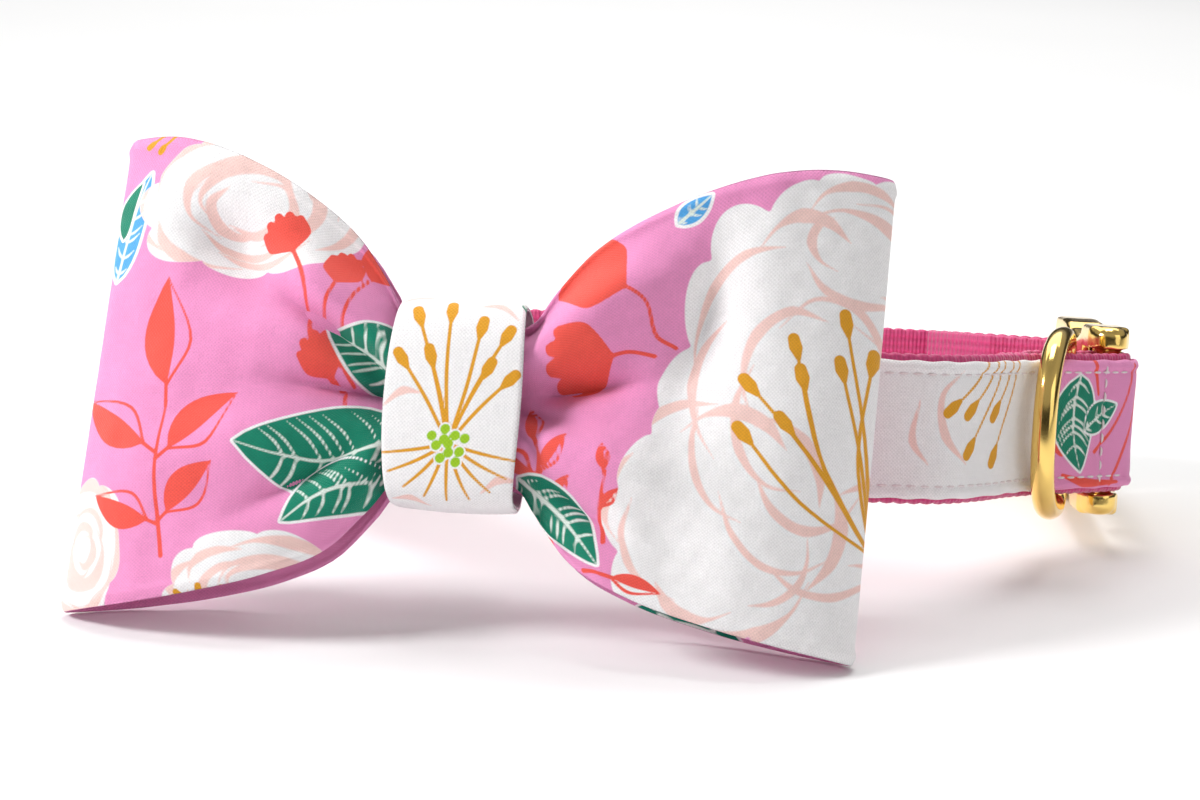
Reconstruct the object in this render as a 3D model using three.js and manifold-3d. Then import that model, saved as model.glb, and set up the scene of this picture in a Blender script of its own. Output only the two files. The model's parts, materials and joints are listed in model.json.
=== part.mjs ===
// Pet bow tie collar: a buckled loop of webbing with a printed cotton face, a D-ring, a metal
// side-release buckle and a gathered cotton bow on an elastic keeper. Millimetres, +Z up, front at -Y.
// It lies as it rests on a table: on the bow's two lower corners and the back of the buckle.
import * as THREE from "three";
import { mergeVertices } from "three/addons/utils/BufferGeometryUtils.js";
import Module from "manifold-3d";

const wasm = await Module();
wasm.setup();

// ---- Driving dimensions ----
const GAP = 0.3; // clearance between neighbouring pieces
const WEBBING = { width: 25.4, thick: 1.8 };
const PRINT = { width: 23.4, thick: 0.8, wrap: 1.7 }; // wrap: radians it follows the folded end
const BAR_R = 2.1; // round bars of the buckle, and the wire of the ring
const LAYERS = 2 * (BAR_R + GAP) + WEBBING.thick; // between the two layers around a bar
const CLOSED = WEBBING.thick + GAP; // between the two layers where they are sewn together
const TAIL = { length: 31, open: 17, shut: 25 }; // along the strap from a folded end
const RING = { height: 26.6, depth: 18, corner: 2.4, squareness: 2.5, from_fold: 12.5, heading: -110 };
const BUCKLE = { width: 35, thick: 7.6, edge: 0.9, wall: 1.7, boss: 3.4, arm: 4.1 };
const BOW = { wall: 1.2, front: 7.4, back: 4.0, front_swell: 3.4, back_swell: 2.2, squareness: 5 };
const BOW_PLACE = { x: -22, y: -13.8, z: 1.0, lean: 13.6, yaw: -4.6 }; // degrees
const FOLD = { front: 2.7, back: 0.6, reach: 0.62 }; // depth of the gathers, and how far out they run
const KNOT = {
  half_width: 10.8,
  top: 16.3,
  front: 13.0,
  back: -7.2,
  wall: 1.4,
  crown: 0.5,
  waist: 0.7,
  squareness: 3.7,
};
const KEEPER = { width: 18, thick: 1.0, corner: 1.6, slack: 0.3 };
const END_REACH = { left: { mid: 59.8, rake: -3.0 }, right: { mid: 65.2, rake: 1.4 } };

// Outer face of the strap seen from above, from the folded end beside the ring round to the other.
const STRAP_STATIONS = [
  { x: 96.5, y: 35.5 },
  { x: 88.6, y: 29.3 },
  { x: 80.9, y: 24.0 },
  { x: 73.6, y: 17.4 },
  { x: 66.9, y: 9.4 },
  { x: 58.8, y: 2.6 },
  { x: 48.5, y: 0.2 },
  { x: 36.0, y: 0.0 },
  { x: 12.0, y: 0.0 },
  { x: -12.0, y: 0.0 },
  { x: -36.0, y: 0.5 },
  { x: -57.0, y: 8.6 },
  { x: -70.5, y: 26.5 },
  { x: -75.0, y: 47.0 },
  { x: -68.5, y: 68.5 },
  { x: -52.0, y: 83.5 },
  { x: -28.0, y: 90.0 },
  { x: 4.0, y: 91.0 },
  { x: 36.0, y: 91.0 },
  { x: 64.0, y: 91.0 },
  { x: 82.0, y: 89.0 },
  { x: 96.8, y: 83.2 },
];

// Height of a lobe above and below the middle of the knot, at a share of its reach.
const LOBE_ROWS = [
  { share: 0.0, top: 11.4, bottom: 11.4 },
  { share: 0.17, top: 11.7, bottom: 11.6 },
  { share: 0.22, top: 18.6, bottom: 18.2 },
  { share: 0.3, top: 25.0, bottom: 24.2 },
  { share: 0.44, top: 31.4, bottom: 29.0 },
  { share: 0.64, top: 37.4, bottom: 32.8 },
  { share: 0.82, top: 40.6, bottom: 35.2 },
  { share: 1.0, top: 41.2, bottom: 37.0 },
];

const FABRIC_STEPS = { around: 17, waist: 3, high: 14 };

const deg = THREE.MathUtils.degToRad;
const smooth = THREE.MathUtils.smoothstep;
const v2 = (x, y) => new THREE.Vector2(x, y);
const v3 = (x, y, z) => new THREE.Vector3(x, y, z);

// ---- Shared shapes ----

// A closed skin over rings of points that wrap round both ways.
function torusSkin(rings) {
  const around = rings.length;
  const across = rings[0].length;
  const index = [];
  for (let i = 0; i < around; i++)
    for (let j = 0; j < across; j++) {
      const a = i * across + j;
      const b = ((i + 1) % around) * across + j;
      const c = ((i + 1) % around) * across + ((j + 1) % across);
      const d = i * across + ((j + 1) % across);
      index.push(a, b, c, a, c, d);
    }
  const geometry = new THREE.BufferGeometry().setFromPoints(rings.flat());
  geometry.setIndex(index);
  return facingOut(geometry);
}

function facingOut(geometry) {
  const p = geometry.attributes.position;
  const corner = (k) => v3().fromBufferAttribute(p, geometry.index.getX(k));
  let volume = 0;
  for (let k = 0; k < geometry.index.count; k += 3)
    volume += corner(k).dot(corner(k + 1).cross(corner(k + 2)));
  if (volume < 0) geometry.setIndex([...geometry.index.array].reverse());
  return geometry;
}

function solidOf(geometry) {
  const bare = new THREE.BufferGeometry().setAttribute("position", geometry.attributes.position);
  if (geometry.index) bare.setIndex(geometry.index);
  const merged = mergeVertices(bare, 1e-4);
  return new wasm.Manifold(
    new wasm.Mesh({
      numProp: 3,
      vertProperties: new Float32Array(merged.attributes.position.array),
      triVerts: new Uint32Array(merged.index.array),
    }),
  );
}

function geometryOf(solid) {
  const mesh = solid.getMesh();
  const geometry = new THREE.BufferGeometry();
  geometry.setAttribute("position", new THREE.BufferAttribute(mesh.vertProperties, 3));
  geometry.setIndex([...mesh.triVerts]);
  return geometry;
}

function piece(name, geometry, color, roughness, metalness) {
  const mesh = new THREE.Mesh(geometry, new THREE.MeshStandardMaterial({ color, roughness, metalness }));
  mesh.name = name;
  return mesh;
}

// ---- Strap: webbing and its printed face ----

const strapCurve = new THREE.CatmullRomCurve3(
  STRAP_STATIONS.map(({ x, y }) => v3(x, y, 0)),
  false,
  "centripetal",
);
const STRAP_STEP = 3;
const strapLength = strapCurve.getLength();

// A place on the strap: s along its outer face from the ring's end, deep below that face.
function strapPoint(s, deep) {
  const u = THREE.MathUtils.clamp(s / strapLength, 0, 1);
  const at = strapCurve.getPointAt(u);
  const heading = strapCurve.getTangentAt(u);
  return v2(at.x + heading.y * deep, at.y - heading.x * deep);
}

function stretch(from, to, deep) {
  const steps = Math.max(1, Math.round(Math.abs(to - from) / STRAP_STEP));
  return Array.from({ length: steps + 1 }, (_, i) => {
    const s = from + ((to - from) * i) / steps;
    return strapPoint(s, deep(s));
  });
}

const WEB_DEEP = PRINT.thick + GAP + WEBBING.thick / 2; // middle of the webbing below the face
const BAR_DEEP = WEB_DEEP + LAYERS / 2;

function endPlace(s) {
  const bar = strapPoint(s, BAR_DEEP);
  const out = strapPoint(s, WEB_DEEP).sub(bar).normalize();
  return { bar, out };
}

// The turn of a layer round a bar, from its outer side towards its inner side.
function foldArc(s, radius, turn, steps) {
  const { bar, out } = endPlace(s);
  const way = s < strapLength / 2 ? 1 : -1;
  return Array.from({ length: steps }, (_, i) => {
    const a = (way * turn * (i + 1)) / (steps + 1);
    return out.clone().rotateAround(v2(0, 0), a).multiplyScalar(radius).add(bar);
  });
}

function tailDeep(along) {
  return WEB_DEEP + THREE.MathUtils.lerp(LAYERS, CLOSED, smooth(along, TAIL.open, TAIL.shut));
}

// A band drawn from above along its middle line, then raised to its width.
function band(line, thick, width) {
  const side = (hand) =>
    line.map((p, i) => {
      const a = line[Math.max(i - 1, 0)];
      const b = line[Math.min(i + 1, line.length - 1)];
      const normal = v2(b.y - a.y, a.x - b.x).normalize();
      return p.clone().addScaledVector(normal, (hand * thick) / 2);
    });
  const outline = new THREE.Shape([...side(1), ...side(-1).reverse()]);
  const geometry = new THREE.ExtrudeGeometry(outline, { depth: width, bevelEnabled: false });
  return geometry.translate(0, 0, -width / 2);
}

function webbing() {
  const foldSteps = 9;
  const line = [
    ...stretch(TAIL.length, 0, tailDeep),
    ...foldArc(0, LAYERS / 2, Math.PI, foldSteps).reverse(),
    ...stretch(0, strapLength, () => WEB_DEEP),
    ...foldArc(strapLength, LAYERS / 2, Math.PI, foldSteps),
    ...stretch(strapLength, strapLength - TAIL.length, (s) => tailDeep(strapLength - s)),
  ];
  return piece("webbing", band(line, WEBBING.thick, WEBBING.width), 0xd6246e, 0.7, 0);
}

function strapPrint() {
  const radius = LAYERS / 2 + WEB_DEEP - PRINT.thick / 2;
  const line = [
    ...foldArc(0, radius, PRINT.wrap, 5).reverse(),
    ...stretch(0, strapLength, () => PRINT.thick / 2),
    ...foldArc(strapLength, radius, PRINT.wrap, 5),
  ];
  return piece("strap_print", band(line, PRINT.thick, PRINT.width), 0xf3e9ea, 0.8, 0);
}

// ---- D-ring: its straight bar lies on the local Z axis, and its bow points along local X ----

function ringRoute() {
  const half = RING.height / 2 + BAR_R;
  const { depth, corner, squareness } = RING;
  const bow = [];
  for (let i = 0; i <= 22; i++) {
    const a = (Math.PI * i) / 22;
    const x = corner + (depth - corner) * Math.abs(Math.sin(a)) ** (2 / squareness);
    const z = half * Math.sign(Math.cos(a)) * Math.abs(Math.cos(a)) ** (2 / squareness);
    bow.push(v3(x, 0, z));
  }
  const turn = (hand) =>
    [0, 1, 2].map((i) => {
      const a = (Math.PI / 2) * (i / 3);
      return v3(corner * (1 - Math.cos(a)), 0, hand * (half - corner + corner * Math.sin(a)));
    });
  return [...turn(1), ...bow, ...turn(-1).reverse()];
}

function ring() {
  const route = ringRoute();
  const sides = 12;
  const rings = route.map((p, i) => {
    const ahead = route[(i + 1) % route.length];
    const behind = route[(i - 1 + route.length) % route.length];
    const normal = v3().subVectors(ahead, behind).cross(v3(0, 1, 0)).normalize();
    return Array.from({ length: sides }, (_, k) => {
      const a = (2 * Math.PI * k) / sides;
      const offset = normal.clone().multiplyScalar(BAR_R * Math.cos(a));
      return p.clone().add(offset).add(v3(0, BAR_R * Math.sin(a), 0));
    });
  });
  const mesh = piece("ring", torusSkin(rings), 0xe2b844, 0.22, 1);
  const bar = strapPoint(RING.from_fold, BAR_DEEP);
  mesh.position.set(bar.x, bar.y, 0);
  mesh.rotation.z = deg(RING.heading);
  return mesh;
}

// ---- Buckle: local X runs from the socket's bar to the plug's bar, local Y along the bars ----

const barA = endPlace(0).bar;
const barB = endPlace(strapLength).bar;
const BUCKLE_LENGTH = barA.distanceTo(barB);
const SPLIT = 0.57 * BUCKLE_LENGTH; // where the socket's mouth meets the plug's shoulder
const WINDOW = 6.6; // from a bar's middle to the far side of the webbing's window

// A rounded plate from one outline row to the next, with the same outline on both hands.
function plate(rows, thick, edge) {
  const up = rows.map(({ x, half }) => v2(x, half));
  const down = rows.map(({ x, half }) => v2(x, -half)).reverse();
  const shape = new THREE.Shape([...up, ...down]);
  const geometry = new THREE.ExtrudeGeometry(shape, {
    depth: thick - 2 * edge,
    bevelThickness: edge,
    bevelSize: edge,
    bevelOffset: -edge,
    bevelSegments: 2,
  });
  return solidOf(geometry.translate(0, 0, -thick / 2 + edge));
}

function block(x0, x1, halfY, halfZ) {
  const geometry = new THREE.BoxGeometry(x1 - x0, 2 * halfY, 2 * halfZ);
  return solidOf(geometry.translate((x0 + x1) / 2, 0, 0));
}

function rod(x, radius, half, sides) {
  return solidOf(new THREE.CylinderGeometry(radius, radius, 2 * half, sides).translate(x, 0, 0));
}

// Round bosses that end each side arm beside the webbing.
function bosses(x) {
  const half = BUCKLE.width / 2;
  const inner = half - BUCKLE.arm;
  const profile = [
    v2(0, inner),
    v2(BUCKLE.boss, inner),
    v2(BUCKLE.boss, half - 1.4),
    v2(BUCKLE.boss * 0.8, half - 0.4),
    v2(BUCKLE.boss * 0.45, half),
    v2(0, half),
  ];
  const upper = new THREE.LatheGeometry(profile, 16);
  const lower = upper.clone().rotateX(Math.PI);
  return [upper, lower].map((g) => solidOf(g.translate(x, 0, 0)));
}

function frameEnd(barX, way, bodyRows, bodyTo) {
  const half = BUCKLE.width / 2;
  const windowEdge = barX + way * WINDOW;
  let solid = plate(bodyRows, BUCKLE.thick, BUCKLE.edge);
  const inner = half - BUCKLE.arm;
  const from = Math.min(windowEdge, barX - way * 9);
  const to = Math.max(windowEdge, barX - way * 9);
  solid = solid.subtract(block(from, to, inner, BUCKLE.thick));
  solid = solid.add(rod(barX, BAR_R, half - 1, 16));
  for (const boss of bosses(barX)) solid = solid.add(boss);
  return bodyTo ? solid.subtract(bodyTo) : solid;
}

// The plug's two spring arms and its guide tongue, grown by slack for the socket's hollow.
function prongs(slack) {
  const from = SPLIT - 15.5 - slack;
  const to = SPLIT + 1.4;
  const thick = BUCKLE.thick - 2 * BUCKLE.wall - 2 * GAP + 2 * slack;
  const arm = (hand) => {
    const rows = [
      [from + 1.5, 9.2 - slack],
      [from, 11.0],
      [from, 14.2 + slack],
      [from + 3.2, 16.8 + slack],
      [from + 8.0 + 2 * slack, 16.8 + slack],
      [from + 10.5 + 2 * slack, 13.6 + slack],
      [to, 12.6 + slack],
      [to, 9.2 - slack],
    ];
    const shape = new THREE.Shape(rows.map(([x, y]) => v2(x, hand * y)));
    return solidOf(
      new THREE.ExtrudeGeometry(shape, { depth: thick, bevelEnabled: false }).translate(0, 0, -thick / 2),
    );
  };
  return arm(1)
    .add(arm(-1))
    .add(block(from + 2.5, to, 3.2 + slack, thick / 2));
}

function buckleSocket() {
  const half = BUCKLE.width / 2;
  const rows = [
    { x: -0.4, half: half },
    { x: WINDOW + 2.5, half: half },
    { x: SPLIT - 12.8, half: half - 1.2 },
    { x: SPLIT - 8.6, half: half - 2.6 },
    { x: SPLIT - 3.0, half: half - 1.4 },
    { x: SPLIT, half: half - 1.4 },
  ];
  return frameEnd(0, 1, rows, prongs(GAP));
}

function bucklePlug() {
  const half = BUCKLE.width / 2;
  const rows = [
    { x: SPLIT + GAP, half: half - 1.6 },
    { x: SPLIT + 4.0, half: half - 0.4 },
    { x: BUCKLE_LENGTH - WINDOW - 1, half: half },
    { x: BUCKLE_LENGTH + 0.4, half: half },
  ];
  return frameEnd(BUCKLE_LENGTH, -1, rows).add(prongs(0));
}

function buckleHalf(name, solid) {
  const mesh = piece(name, geometryOf(solid), 0xe2b53c, 0.2, 1);
  const along = v3(barB.x - barA.x, barB.y - barA.y, 0).normalize();
  const basis = new THREE.Matrix4().makeBasis(along, v3(0, 0, 1), v3(along.y, -along.x, 0));
  mesh.applyMatrix4(basis.setPosition(barA.x, barA.y, 0));
  return mesh;
}

// ---- Bow: local X to the right lobe, local Y to the front, local Z up, origin in the knot ----

const lobeShares = LOBE_ROWS.map(({ share }) => share);
const lobeHeights = new THREE.CubicInterpolant(
  lobeShares,
  LOBE_ROWS.flatMap(({ top, bottom }) => [top, bottom]),
  2,
);

// Middle of the cloth: hand -1 left or 1 right, layer 1 front or -1 back, high from -1 to 1.
function bowPoint(hand, layer, share, high) {
  const { mid, rake } = hand < 0 ? END_REACH.left : END_REACH.right;
  const [top, bottom] = lobeHeights.evaluate(share);
  const closing = Math.sqrt(Math.max(0, 1 - share ** BOW.squareness));
  const swelling = Math.sin(Math.PI * THREE.MathUtils.clamp((share - 0.15) / 0.85, 0, 1));
  const fade = 1 - smooth(share, 0.1, FOLD.reach);
  const wave = -Math.cos(2 * Math.PI * high) * fade;
  const front = (BOW.front + BOW.front_swell * swelling) * closing + FOLD.front * wave;
  const back = (BOW.back + BOW.back_swell * swelling) * closing + FOLD.back * wave;
  return v3(
    hand * share * (mid + rake * high),
    layer > 0 ? front : -back,
    high > 0 ? high * top : high * bottom,
  );
}

// Stations round the cloth loop, from the knot's middle to the left end, the back and the right end.
function bowStations() {
  const stations = [];
  const waist = FABRIC_STEPS.waist;
  const shares = [];
  for (let i = 0; i < waist; i++) shares.push((0.16 * i) / waist);
  for (let i = 0; i <= FABRIC_STEPS.around; i++) {
    const a = i / FABRIC_STEPS.around;
    shares.push(0.16 + 0.84 * Math.sin((Math.PI / 2) * a) ** 0.9);
  }
  const out = (hand, layer) => shares.map((share) => ({ hand, layer, share }));
  const quarter = [out(-1, 1), out(-1, -1).reverse(), out(1, -1), out(1, 1).reverse()];
  quarter[1].shift();
  quarter[2].shift();
  quarter[3].shift();
  quarter[3].pop();
  for (const part of quarter) stations.push(...part);
  return stations;
}

// A cloth wall of even thickness on a grid of points that is closed along its first index.
function clothWall(grid, wall) {
  const around = grid.length;
  const last = grid[0].length - 1;
  const side = (i, j, hand) => {
    const along = v3().subVectors(grid[(i + 1) % around][j], grid[(i - 1 + around) % around][j]);
    const across = v3().subVectors(grid[i][Math.min(j + 1, last)], grid[i][Math.max(j - 1, 0)]);
    return grid[i][j].clone().addScaledVector(along.cross(across).normalize(), (hand * wall) / 2);
  };
  return torusSkin(
    grid.map((column, i) => [
      ...column.map((_, j) => side(i, j, 1)),
      ...column.map((_, j) => side(i, last - j, -1)),
    ]),
  );
}

function bow() {
  const steps = FABRIC_STEPS.high;
  const grid = bowStations().map(({ hand, layer, share }) =>
    Array.from({ length: steps + 1 }, (_, j) => bowPoint(hand, layer, share, (2 * j) / steps - 1)),
  );
  return piece("bow", clothWall(grid, BOW.wall), 0xf0a8cf, 0.8, 0);
}

// The knot's outline in the plane across the waist, as a rounded box.
function knotOutline() {
  const middle = (KNOT.front + KNOT.back) / 2;
  const depth = (KNOT.front - KNOT.back) / 2;
  return Array.from({ length: 44 }, (_, i) => {
    const a = (2 * Math.PI * i) / 44;
    const power = 2 / KNOT.squareness;
    const y = middle + depth * Math.sign(Math.cos(a)) * Math.abs(Math.cos(a)) ** power;
    const z = KNOT.top * Math.sign(Math.sin(a)) * Math.abs(Math.sin(a)) ** power;
    return { y, z };
  });
}

function knot() {
  const steps = 8;
  const grid = knotOutline().map(({ y, z }) =>
    Array.from({ length: steps + 1 }, (_, j) => {
      const across = (2 * j) / steps - 1;
      const narrow = KNOT.half_width - KNOT.waist * (z / KNOT.top) ** 2;
      const shrink = 1 - (KNOT.crown / KNOT.top) * across ** 2;
      return v3(across * narrow, y * shrink, z * shrink);
    }),
  );
  return piece("knot", clothWall(grid, KNOT.wall), 0xf6eeee, 0.8, 0);
}

// ---- Keeper: an elastic loop round the strap, its front leg flat against the knot's back ----

function keeper() {
  const reach = KEEPER.thick / 2 + GAP;
  const high = WEBBING.width / 2 + reach;
  const behind = WEB_DEEP + WEBBING.thick / 2 + reach + KEEPER.slack;
  const before = -reach - KEEPER.slack;
  const lean = 2 * high * Math.tan(deg(BOW_PLACE.lean));
  const corners = [v2(behind, high), v2(before, high), v2(before - lean, -high), v2(behind, -high)];
  const route = corners.flatMap((corner, i) => {
    const previous = corners[(i + 3) % 4].clone().sub(corner).normalize();
    const next = corners[(i + 1) % 4].clone().sub(corner).normalize();
    const start = corner.clone().addScaledVector(previous, KEEPER.corner);
    const end = corner.clone().addScaledVector(next, KEEPER.corner);
    return new THREE.QuadraticBezierCurve(start, corner, end).getPoints(4);
  });
  const grid = route.map((p) =>
    [-1, 1].map((hand) => v3(BOW_PLACE.x + (hand * KEEPER.width) / 2, p.x, p.y)),
  );
  return piece("keeper", clothWall(grid, KEEPER.thick), 0xefe6e8, 0.9, 0);
}

// ---- Assembly ----

const bowGroup = new THREE.Group();
bowGroup.add(bow(), knot());
const frontToRear = new THREE.Matrix4().makeScale(1, -1, 1);
for (const mesh of bowGroup.children) {
  mesh.geometry.applyMatrix4(frontToRear);
  facingOut(mesh.geometry);
}
bowGroup.position.set(BOW_PLACE.x, BOW_PLACE.y, BOW_PLACE.z);
bowGroup.rotation.set(-deg(BOW_PLACE.lean), 0, deg(BOW_PLACE.yaw), "ZXY");

const collar = new THREE.Group();
collar.add(
  webbing(),
  strapPrint(),
  ring(),
  buckleHalf("buckle_socket", buckleSocket()),
  buckleHalf("buckle_plug", bucklePlug()),
  keeper(),
  bowGroup,
);

// Lowest point of some meshes, in the frame that the part stands in.
function lowest(names, keep) {
  let low = v3(0, 0, Infinity);
  for (const name of names) {
    const mesh = collar.getObjectByName(name);
    const p = mesh.geometry.attributes.position;
    for (let i = 0; i < p.count; i++) {
      const at = v3().fromBufferAttribute(p, i).applyMatrix4(mesh.matrixWorld);
      if (at.z < low.z && keep(at)) low = at;
    }
  }
  return low;
}

// The collar is turned until both lower corners of the bow and its rear are level.
function settle() {
  for (let round = 0; round < 30; round++) {
    collar.updateMatrixWorld(true);
    const left = lowest(["bow"], (at) => at.x < BOW_PLACE.x);
    const right = lowest(["bow"], (at) => at.x > BOW_PLACE.x);
    const rear = lowest(["webbing", "buckle_plug", "buckle_socket"], () => true);
    const share = (rear.x - left.x) / (right.x - left.x);
    const front = THREE.MathUtils.lerp(left.z, right.z, share);
    collar.rotation.y += (right.z - left.z) / (right.x - left.x);
    collar.rotation.x -= (rear.z - front) / (rear.y - (left.y + right.y) / 2);
  }
}
settle();
collar.updateMatrixWorld(true);
const box = new THREE.Box3().setFromObject(collar, true);
collar.position.set(-(box.min.x + box.max.x) / 2, -(box.min.y + box.max.y) / 2, -box.min.z);

const part = new THREE.Group();
part.add(collar);
export default part;
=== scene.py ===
"""Looks of the pet bow tie collar: printed cotton bow and strip, hot pink webbing and gold metal.

Shapes are worked out in millimetres in the collar's own frame (X along the front of the strap,
Y to the back of the loop, Z across the strap), and stood in the row frame by the ring's hinge.
"""
import json
import math

import bmesh
import bpy
import numpy as np
from mathutils import Matrix, Vector


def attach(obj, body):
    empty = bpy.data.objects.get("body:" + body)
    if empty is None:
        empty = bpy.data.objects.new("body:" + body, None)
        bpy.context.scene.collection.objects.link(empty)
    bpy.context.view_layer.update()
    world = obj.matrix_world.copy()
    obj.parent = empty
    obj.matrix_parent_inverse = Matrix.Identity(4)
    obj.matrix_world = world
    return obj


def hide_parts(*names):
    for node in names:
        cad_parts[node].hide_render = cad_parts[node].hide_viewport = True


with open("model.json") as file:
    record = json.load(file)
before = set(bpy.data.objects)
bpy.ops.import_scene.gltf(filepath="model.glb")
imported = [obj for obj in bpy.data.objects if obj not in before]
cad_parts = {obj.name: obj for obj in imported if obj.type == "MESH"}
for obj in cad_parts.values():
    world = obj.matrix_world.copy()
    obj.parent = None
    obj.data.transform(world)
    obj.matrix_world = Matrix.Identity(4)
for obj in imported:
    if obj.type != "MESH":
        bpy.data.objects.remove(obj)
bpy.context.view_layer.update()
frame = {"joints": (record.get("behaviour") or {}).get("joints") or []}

MM = 0.001
ROUGH_LOOK = 1.0  # coarser cloth while other pieces are worked on

# ---- Driving dimensions, as in the construction ----
GAP = 0.3
WEBBING = {"width": 25.4, "thick": 1.8}
PRINT = {"width": 23.4, "thick": 0.8, "wrap": 1.7}
BAR_R = 2.1
LAYERS = 2 * (BAR_R + GAP) + WEBBING["thick"]
CLOSED = WEBBING["thick"] + GAP
TAIL = {"length": 31, "open": 17, "shut": 25}
RING = {"height": 26.6, "depth": 18, "corner": 2.4, "squareness": 2.5, "from_fold": 12.5, "heading": -110}
BOW = {"wall": 1.2, "front": 7.4, "back": 4.0, "front_swell": 3.4, "back_swell": 2.2, "squareness": 5}
BOW_PLACE = {"x": -22, "y": -13.8, "z": 1.0, "lean": 13.6, "yaw": -4.6}
FOLD = {"front": 2.7, "back": 0.6, "reach": 0.62}
KNOT = {"half_width": 10.8, "top": 16.3, "front": 13.0, "back": -7.2, "wall": 1.4}
KEEPER = {"width": 18, "thick": 1.0, "corner": 1.6, "slack": 0.3}
END_REACH = {-1: {"mid": 60.2, "rake": -1.8}, 1: {"mid": 65.2, "rake": 1.4}}
WEB_DEEP = PRINT["thick"] + GAP + WEBBING["thick"] / 2
BAR_DEEP = WEB_DEEP + LAYERS / 2

STRAP_STATIONS = [
    (96.5, 35.5), (88.6, 29.3), (80.9, 24.0), (73.6, 17.4), (66.9, 9.4), (58.8, 2.6),
    (48.5, 0.2), (36.0, 0.0), (12.0, 0.0), (-12.0, 0.0), (-36.0, 0.5), (-57.0, 8.6),
    (-70.5, 26.5), (-75.0, 47.0), (-68.5, 68.5), (-52.0, 83.5), (-28.0, 90.0), (4.0, 91.0),
    (36.0, 91.0), (64.0, 91.0), (82.0, 89.0), (96.8, 83.2),
]  # outer face of the strap from above, from the fold beside the ring

LOBE_ROWS = [  # share of the lobe's reach, height above and below the knot's middle
    {"share": 0.0, "top": 13.4, "bottom": 13.4},
    {"share": 0.17, "top": 13.7, "bottom": 13.6},
    {"share": 0.22, "top": 18.6, "bottom": 18.2},
    {"share": 0.3, "top": 25.0, "bottom": 24.2},
    {"share": 0.44, "top": 31.4, "bottom": 29.0},
    {"share": 0.64, "top": 37.4, "bottom": 32.8},
    {"share": 0.82, "top": 40.6, "bottom": 35.2},
    {"share": 1.0, "top": 41.2, "bottom": 37.0},
]

COLOURS = {
    "pink": (0.86, 0.305, 0.575),
    "white": (0.93, 0.91, 0.92),
    "blush": (0.93, 0.60, 0.55),
    "coral": (0.90, 0.10, 0.075),
    "green": (0.004, 0.215, 0.130),
    "vein": (0.78, 0.86, 0.80),
    "gold": (0.76, 0.35, 0.020),
    "lime": (0.34, 0.60, 0.020),
    "blue": (0.085, 0.38, 0.78),
    "webbing": (0.64, 0.022, 0.17),
    "metal": (0.95, 0.66, 0.20),
}


# ---- Frames ----

def three_spline(stations, fine=60):
    """Centripetal spline through the stations, sampled finely."""
    p = np.array(stations, float)
    p = np.vstack([2 * p[0] - p[1], p, 2 * p[-1] - p[-2]])
    out = []
    for a, b, c, d in zip(p, p[1:], p[2:], p[3:]):
        ta, tb, tc = (max(np.linalg.norm(y - x), 1e-6) ** 0.5 for x, y in ((a, b), (b, c), (c, d)))
        m1 = ((b - a) / ta - (c - a) / (ta + tb) + (c - b) / tb) * tb
        m2 = ((c - b) / tb - (d - b) / (tb + tc) + (d - c) / tc) * tb
        t = np.linspace(0, 1, fine, endpoint=False)[:, None]
        out.append(b + m1 * t + (3 * c - 3 * b - 2 * m1 - m2) * t**2 + (2 * b - 2 * c + m1 + m2) * t**3)
    return np.vstack([*out, p[-2][None]])


strap_line = three_spline(STRAP_STATIONS)
strap_run = np.concatenate([[0], np.cumsum(np.linalg.norm(np.diff(strap_line, axis=0), axis=1))])
STRAP_LENGTH = float(strap_run[-1])


def strap_point(s, deep):
    """(x, y) of a place s along the strap's outer face and deep below it."""
    s = np.clip(np.asarray(s, float), 0, STRAP_LENGTH)
    at = np.stack([np.interp(s, strap_run, strap_line[:, k]) for k in (0, 1)], -1)
    step = 0.8
    ahead = np.stack([np.interp(s + step, strap_run, strap_line[:, k]) for k in (0, 1)], -1)
    behind = np.stack([np.interp(s - step, strap_run, strap_line[:, k]) for k in (0, 1)], -1)
    heading = ahead - behind
    heading /= np.linalg.norm(heading, axis=-1, keepdims=True)
    return at + np.stack([heading[..., 1], -heading[..., 0]], -1) * np.asarray(deep)[..., None]


hinge = next(j for j in frame["joints"] if j["name"] == "ring_swing")
hinge_axis = Vector(hinge["axis"]).normalized()
tilt = math.atan2(-hinge_axis.y, hinge_axis.z)
roll = math.asin(hinge_axis.x)
STAND = Matrix.Rotation(tilt, 3, "X") @ Matrix.Rotation(roll, 3, "Y")
bar_xy = strap_point(RING["from_fold"], BAR_DEEP)
SHIFT = Vector(hinge["pos_m"]) - STAND @ Vector((*bar_xy, 0)) * MM
BOW_TURN = Matrix.Rotation(math.radians(BOW_PLACE["yaw"]), 3, "Z") @ Matrix.Rotation(
    -math.radians(BOW_PLACE["lean"]), 3, "X"
)


def to_row(points):
    """Collar millimetres to row metres."""
    return np.asarray(points, float) @ np.array(STAND).T * MM + np.array(SHIFT)


def bow_to_row(u, w, t):
    """Bow coordinates: u to the right, w up, t to the front."""
    local = np.stack([u, -t, w], -1) @ np.array(BOW_TURN).T
    return to_row(local + np.array([BOW_PLACE["x"], BOW_PLACE["y"], BOW_PLACE["z"]]))


def smooth(x, a, b):
    t = np.clip((np.asarray(x, float) - a) / (b - a), 0, 1)
    return t * t * (3 - 2 * t)


def run_along(points):
    """Distance along a line of points at each of them."""
    steps = np.linalg.norm(np.diff(points, axis=0), axis=1)
    return np.concatenate([[0], np.cumsum(steps)])


def ridge(x, at, width):
    """A smooth bump of height 1."""
    return np.exp(-(((x - at) / width) ** 2))


# ---- Ink motifs: signed distances in cloth millimetres, negative inside ----

INKS = ("white", "blush", "coral", "green", "vein", "gold", "lime", "blue")
FAR = 9.0


def curve_through(points, fine=6):
    return three_spline(points, fine) if len(points) > 2 else np.array(points, float)


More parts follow.
